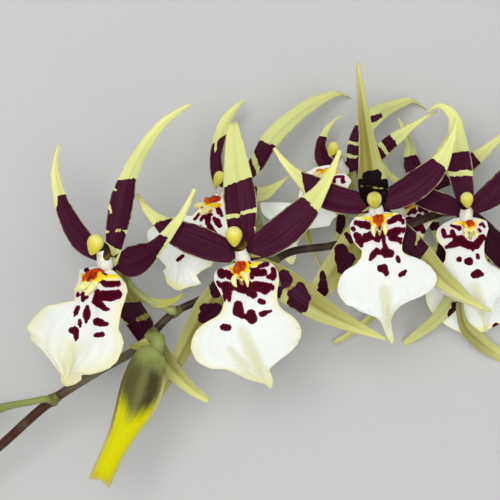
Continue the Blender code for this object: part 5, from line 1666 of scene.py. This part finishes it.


# Columns: the white post over the lip, with painted olive shade down its middle, a dark brown hood round the
# place of its pollen, and a yellow cap that ends in a small beak, with a painted highlight on its upper part.

# For each: the post, from its foot up, with its radius at each place in grid steps; the middle of the
# cap, the end of its beak and half its width in grid steps; its share of olive; and the hood: its
# middle, the way it is long, half its length and half its width in grid steps
COLUMNS = {
    "bloom1": (
        ((107, 266, 61.3, 6.6), (105, 262.5, 63.6, 8.0), (103, 256, 65.6, 6.4), (101, 249.5, 67.2, 5)),
        (95.6, 242.4, 69), (90.8, 255.2, 67.6), 8.4, 0.0, (104.6, 251.6, 66.8), (5, 18), 9.6, 6.0,
    ),
    "bloom2": (
        ((243.2, 263.5, 63.4, 7.8), (242.8, 259, 65, 7.5), (241, 252.5, 67.2, 6.0), (239, 246, 69.2, 5.4)),
        (234, 234.6, 72.9), (235.1, 247.2, 71.4), 8.2, 0.0, (237.5, 243.2, 70.6), (1, 0.15), 9.6, 8.2,
    ),
    "bloom3": (
        ((376.5, 213.5, 63.2, 6.8), (376.2, 211, 64.4, 7.4), (375.8, 206, 66.4, 6), (375, 201, 68, 5)),
        (374.3, 198.9, 71), (375.5, 209.3, 69.4), 7.2, 0.7, (375, 202.4, 68.6), (1, 0), 6.8, 6.0,
    ),
    "bloom4": (
        ((466.5, 219, 45.2, 6.2), (466, 216, 46.6, 6.8), (466, 210, 48.4, 5.6), (466, 204, 50, 5)),
        (466.8, 198.4, 52.4), (468, 208.4, 51), 6.6, 0.2, (465.3, 204.8, 50), (1, 0.2), 6.2, 6.0,
    ),
    "bloom5": (
        ((227, 196.5, 29.4, 6), (223.6, 193.5, 31.4, 6.4), (221.5, 187, 34.6, 5), (220, 181, 37.4, 4.6)),
        (219.6, 176.6, 40), (214.8, 187, 38.6), 5.8, 0.2, (222, 181, 37.6), (2, 9), 7.0, 4.6,
    ),
    "bloom6": (
        ((345, 171, 24.4, 5.4), (341.5, 168.5, 26.8, 6), (339, 161, 30, 5), (336.5, 154, 33, 4.6)),
        (333.5, 147.4, 36), (329.6, 157, 34.6), 6.0, 0.1, (336.5, 154.5, 33.4), (3, 9), 7.0, 5.0,
    ),
    "bloom7": (
        ((420, 194, 21.8, 5), (417, 191, 23.8, 5.4), (415, 185, 26.4, 4.8), (412.5, 180, 28.4, 4.4)),
        (411, 177, 31), (408.4, 187, 29.6), 5.8, 0.3, (413.5, 182, 28.4), (2, 9), 7.0, 4.6,
    ),
    "bloom8": (
        ((470, 250, 17.2, 5), (470, 249.5, 15.6, 5.4), (470, 248, 13.6, 5), (470, 245, 12, 4.6)),
        (470, 242, 10), (470, 251, 10.8), 7.0, 0.3, (470, 246, 11.8), (1, 0), 6.0, 5.0,
    ),
}
POST_RINGS = 40
POST_AROUND = 28
POST_FACING = Vector((0.1, 1, 0.1))
HOOD_DEPTH = 1.9 * MM
HOOD_DETAIL = (36, 20)
HOOD_LIGHT = np.array((0.7, -0.5, 0.0))
CAP_DETAIL = (40, 28)
CAP_DEPTH = 0.93
CAP_CREASE = 0.04
CAP_CREASE_SPREAD = 0.12
CAP_FORM = ((0.0, 1.0), (0.2, 0.97), (0.44, 0.79), (0.66, 0.58), (0.82, 0.38), (0.92, 0.26), (1.0, 0.0))
POST_WHITE = colour(0.880, 0.860, 0.760)
POST_OLIVE = colour(0.520, 0.450, 0.240)
HOOD_DARK = colour(0.014, 0.004, 0.003)
HOOD_BROWN = colour(0.052, 0.020, 0.003)
HOOD_OLIVE = colour(0.130, 0.085, 0.006)
CAP_YELLOW = colour(0.740, 0.660, 0.065)
CAP_PALE = colour(0.830, 0.785, 0.220)
CAP_OLIVE = colour(0.480, 0.420, 0.045)
CAP_BEAK = colour(0.640, 0.440, 0.080)

post_skin, start, surface = material("column_post_skin")
# Painted shade: olive down the middle of the post and towards its top
post_shade = start.mottle(380, 3) + start.note("along") * 0.35 - abs(start.note("across")) * 0.3
post_shade = post_shade.rise(0.02, 0.30)
surface({
    "Base Color": (post_shade * 0.55).blend(POST_WHITE, POST_OLIVE),
    "Roughness": 0.45 + start.mottle(1200, 2) * 0.2,
    "Normal": start.relief(start.mottle(2200, 2), 0.00010),
    "Specular IOR Level": 0.12,
})

hood_skin, start, surface = material("column_hood_skin")
glint = start.note("glint") + start.mottle(420, 3) * 0.8
hood_tone = glint.rise(0.0, 0.55).blend(HOOD_DARK, HOOD_BROWN)
surface({
    "Base Color": glint.rise(0.45, 0.85).blend(hood_tone, HOOD_OLIVE),
    "Roughness": 0.42 + start.mottle(1200, 2) * 0.2,
    "Normal": start.relief(start.mottle(2200, 2), 0.00010),
    "Specular IOR Level": 0.08,
})

cap_skin, start, surface = material("column_cap_skin")
height = start.note("along")
# Painted highlight: paler over the upper part of the cap, away from the beak
painted_highlight = (height + start.mottle(420, 2) * 0.5).rise(0.35, 0.95)
cap_tone = painted_highlight.blend(CAP_YELLOW, CAP_PALE)
keel = abs(start.note("across")).rise(0.75, 0.25)
cap_tone = (start.note("tone") * keel).blend(cap_tone, CAP_OLIVE)
surface({
    "Base Color": height.rise(0.12, 0.0).blend(cap_tone, CAP_BEAK),
    "Roughness": 0.42 + start.mottle(1200, 2) * 0.15,
    "Normal": start.relief(start.mottle(2600, 2), 0.00007),
    "Specular IOR Level": 0.3,
})


def cap_piece(centre, beak, half_width, rise, tone):
    """The cap: an egg that narrows to a blunt beak at its lower end."""
    bpy.ops.mesh.primitive_uv_sphere_add(segments=CAP_DETAIL[0], ring_count=CAP_DETAIL[1], radius=1)
    piece = bpy.context.object
    flat = spots_of(piece)
    low = np.clip(flat[:, 2], 0, 1)
    ring = np.sqrt(np.maximum(1 - low**2, 1e-9))
    slim = np.array([profile(CAP_FORM, h) for h in low]) / ring
    slim = np.where(low > 0.999, 0.0, slim)
    crease = 1 - CAP_CREASE * np.exp(-((flat[:, 0] / CAP_CREASE_SPREAD) ** 2)) * (flat[:, 1] > 0)
    down = np.array(beak - centre)
    long = np.linalg.norm(down)
    down /= long
    side = np.cross(down, np.array(rise))
    side /= np.linalg.norm(side)
    up = np.cross(side, down)
    reach = np.where(flat[:, 2] > 0, long, half_width)
    places = np.array(centre) + (flat[:, 0] * slim * half_width)[:, None] * side
    thick = (flat[:, 1] * slim * crease * half_width * CAP_DEPTH)[:, None] * up
    places += thick + (flat[:, 2] * reach)[:, None] * down
    lay(piece, places, along=-flat[:, 2] * 0.5 + 0.5, across=flat[:, 0], tone=tone, kind=0.0)
    piece.data.materials.append(cap_skin)
    bpy.ops.object.mode_set(mode="EDIT")
    bpy.ops.mesh.select_all(action="SELECT")
    bpy.ops.mesh.normals_make_consistent(inside=False)
    bpy.ops.object.mode_set(mode="OBJECT")
    return piece


for bloom, column in COLUMNS.items():
    post_way, cap_spot, beak, cap_width, tone, hood_spot, hood_way, hood_long, hood_wide = column
    facing = Vector(BLOOM_CENTRES[bloom][1]).normalized()
    cap_spot, beak, hood_spot = [seen(*spot) for spot in (cap_spot, beak, hood_spot)]
    radii = [radius * STEP for *_, radius in post_way]
    post = rod("post", [seen(*place) for *place, _ in post_way], radii, POST_RINGS, POST_AROUND,
               facing=POST_FACING, kind=0.0)
    post.data.materials.append(post_skin)
    way = Vector((hood_way[0], -hood_way[1], 0))
    radii = (hood_wide * STEP, HOOD_DEPTH, hood_long * STEP)
    hood = ball("hood", hood_spot, radii, way, hood_skin, HOOD_DETAIL, kind=0.0)
    jot(hood, "glint", (spots_of(hood) - np.array(hood_spot)) @ HOOD_LIGHT / (hood_wide * STEP))
    cap = cap_piece(cap_spot, beak, cap_width * STEP, facing, tone)
    finish_piece(joined(bloom + "_column_and_cap", [post, hood, cap]), bloom + "_column")


# The surface and the light: the spray lies on a plain pale floor, under two broad soft lamps and a
# pale sky, and the camera looks straight down on it.

FLOOR_GREY = colour(0.560, 0.556, 0.545)
FLOOR_PALE = colour(0.590, 0.586, 0.575)
FLOOR_SIDES = 96
FLOOR_RADIUS = 6.0
# Each lamp: its place, its width and its power
LAMPS = {"key": ((-0.21, 0.19, 1.12), 0.6, 5.8), "fill": ((0.26, -0.14, 1.06), 0.9, 3.2)}
AIM = Vector((-0.02, 0.03, 0.05))
SKY_WHITE = colour(0.95, 0.97, 1.0)
SKY_STRENGTH = 0.45
CAMERA_HEIGHT = LEVEL + VIEW_HEIGHT
CAMERA_NEAR = 0.01
FIELD = GRID_STEPS * STEP
SENSOR = 36.0

floor_skin, start, surface = material("floor_skin")
surface({
    "Base Color": (start.mottle(3.0, 3) + 0.5).blend(FLOOR_GREY, FLOOR_PALE),
    "Roughness": 0.75 + start.mottle(60, 3) * 0.1,
    "Normal": start.relief(start.mottle(900, 3), 0.00005),
})
bpy.ops.mesh.primitive_circle_add(vertices=FLOOR_SIDES, radius=FLOOR_RADIUS, fill_type="NGON")
floor = bpy.context.object
floor.name = floor.data.name = "floor"
floor.data.materials.append(floor_skin)

for lamp_name, (spot, size, power) in LAMPS.items():
    bpy.ops.object.light_add(type="AREA", location=spot)
    lamp = bpy.context.object
    lamp.name = lamp_name
    lamp.data.shape = "DISK"
    lamp.data.size = size
    lamp.data.energy = power
    lamp.rotation_euler = (AIM - Vector(spot)).to_track_quat("-Z", "Y").to_euler()

sky = bpy.data.worlds.new("sky")
bpy.context.scene.world = sky
sky.use_nodes = True
backdrop = sky.node_tree.nodes["Background"].inputs
backdrop["Color"].default_value = SKY_WHITE
backdrop["Strength"].default_value = SKY_STRENGTH
bpy.context.scene.view_settings.view_transform = "Standard"

bpy.ops.object.camera_add(location=(SHIFT_X, SHIFT_Y, CAMERA_HEIGHT), rotation=(0, 0, 0))
camera = bpy.context.object
camera.data.sensor_width = SENSOR
camera.data.lens = SENSOR * VIEW_HEIGHT / FIELD
camera.data.clip_start = CAMERA_NEAR
bpy.context.scene.camera = camera
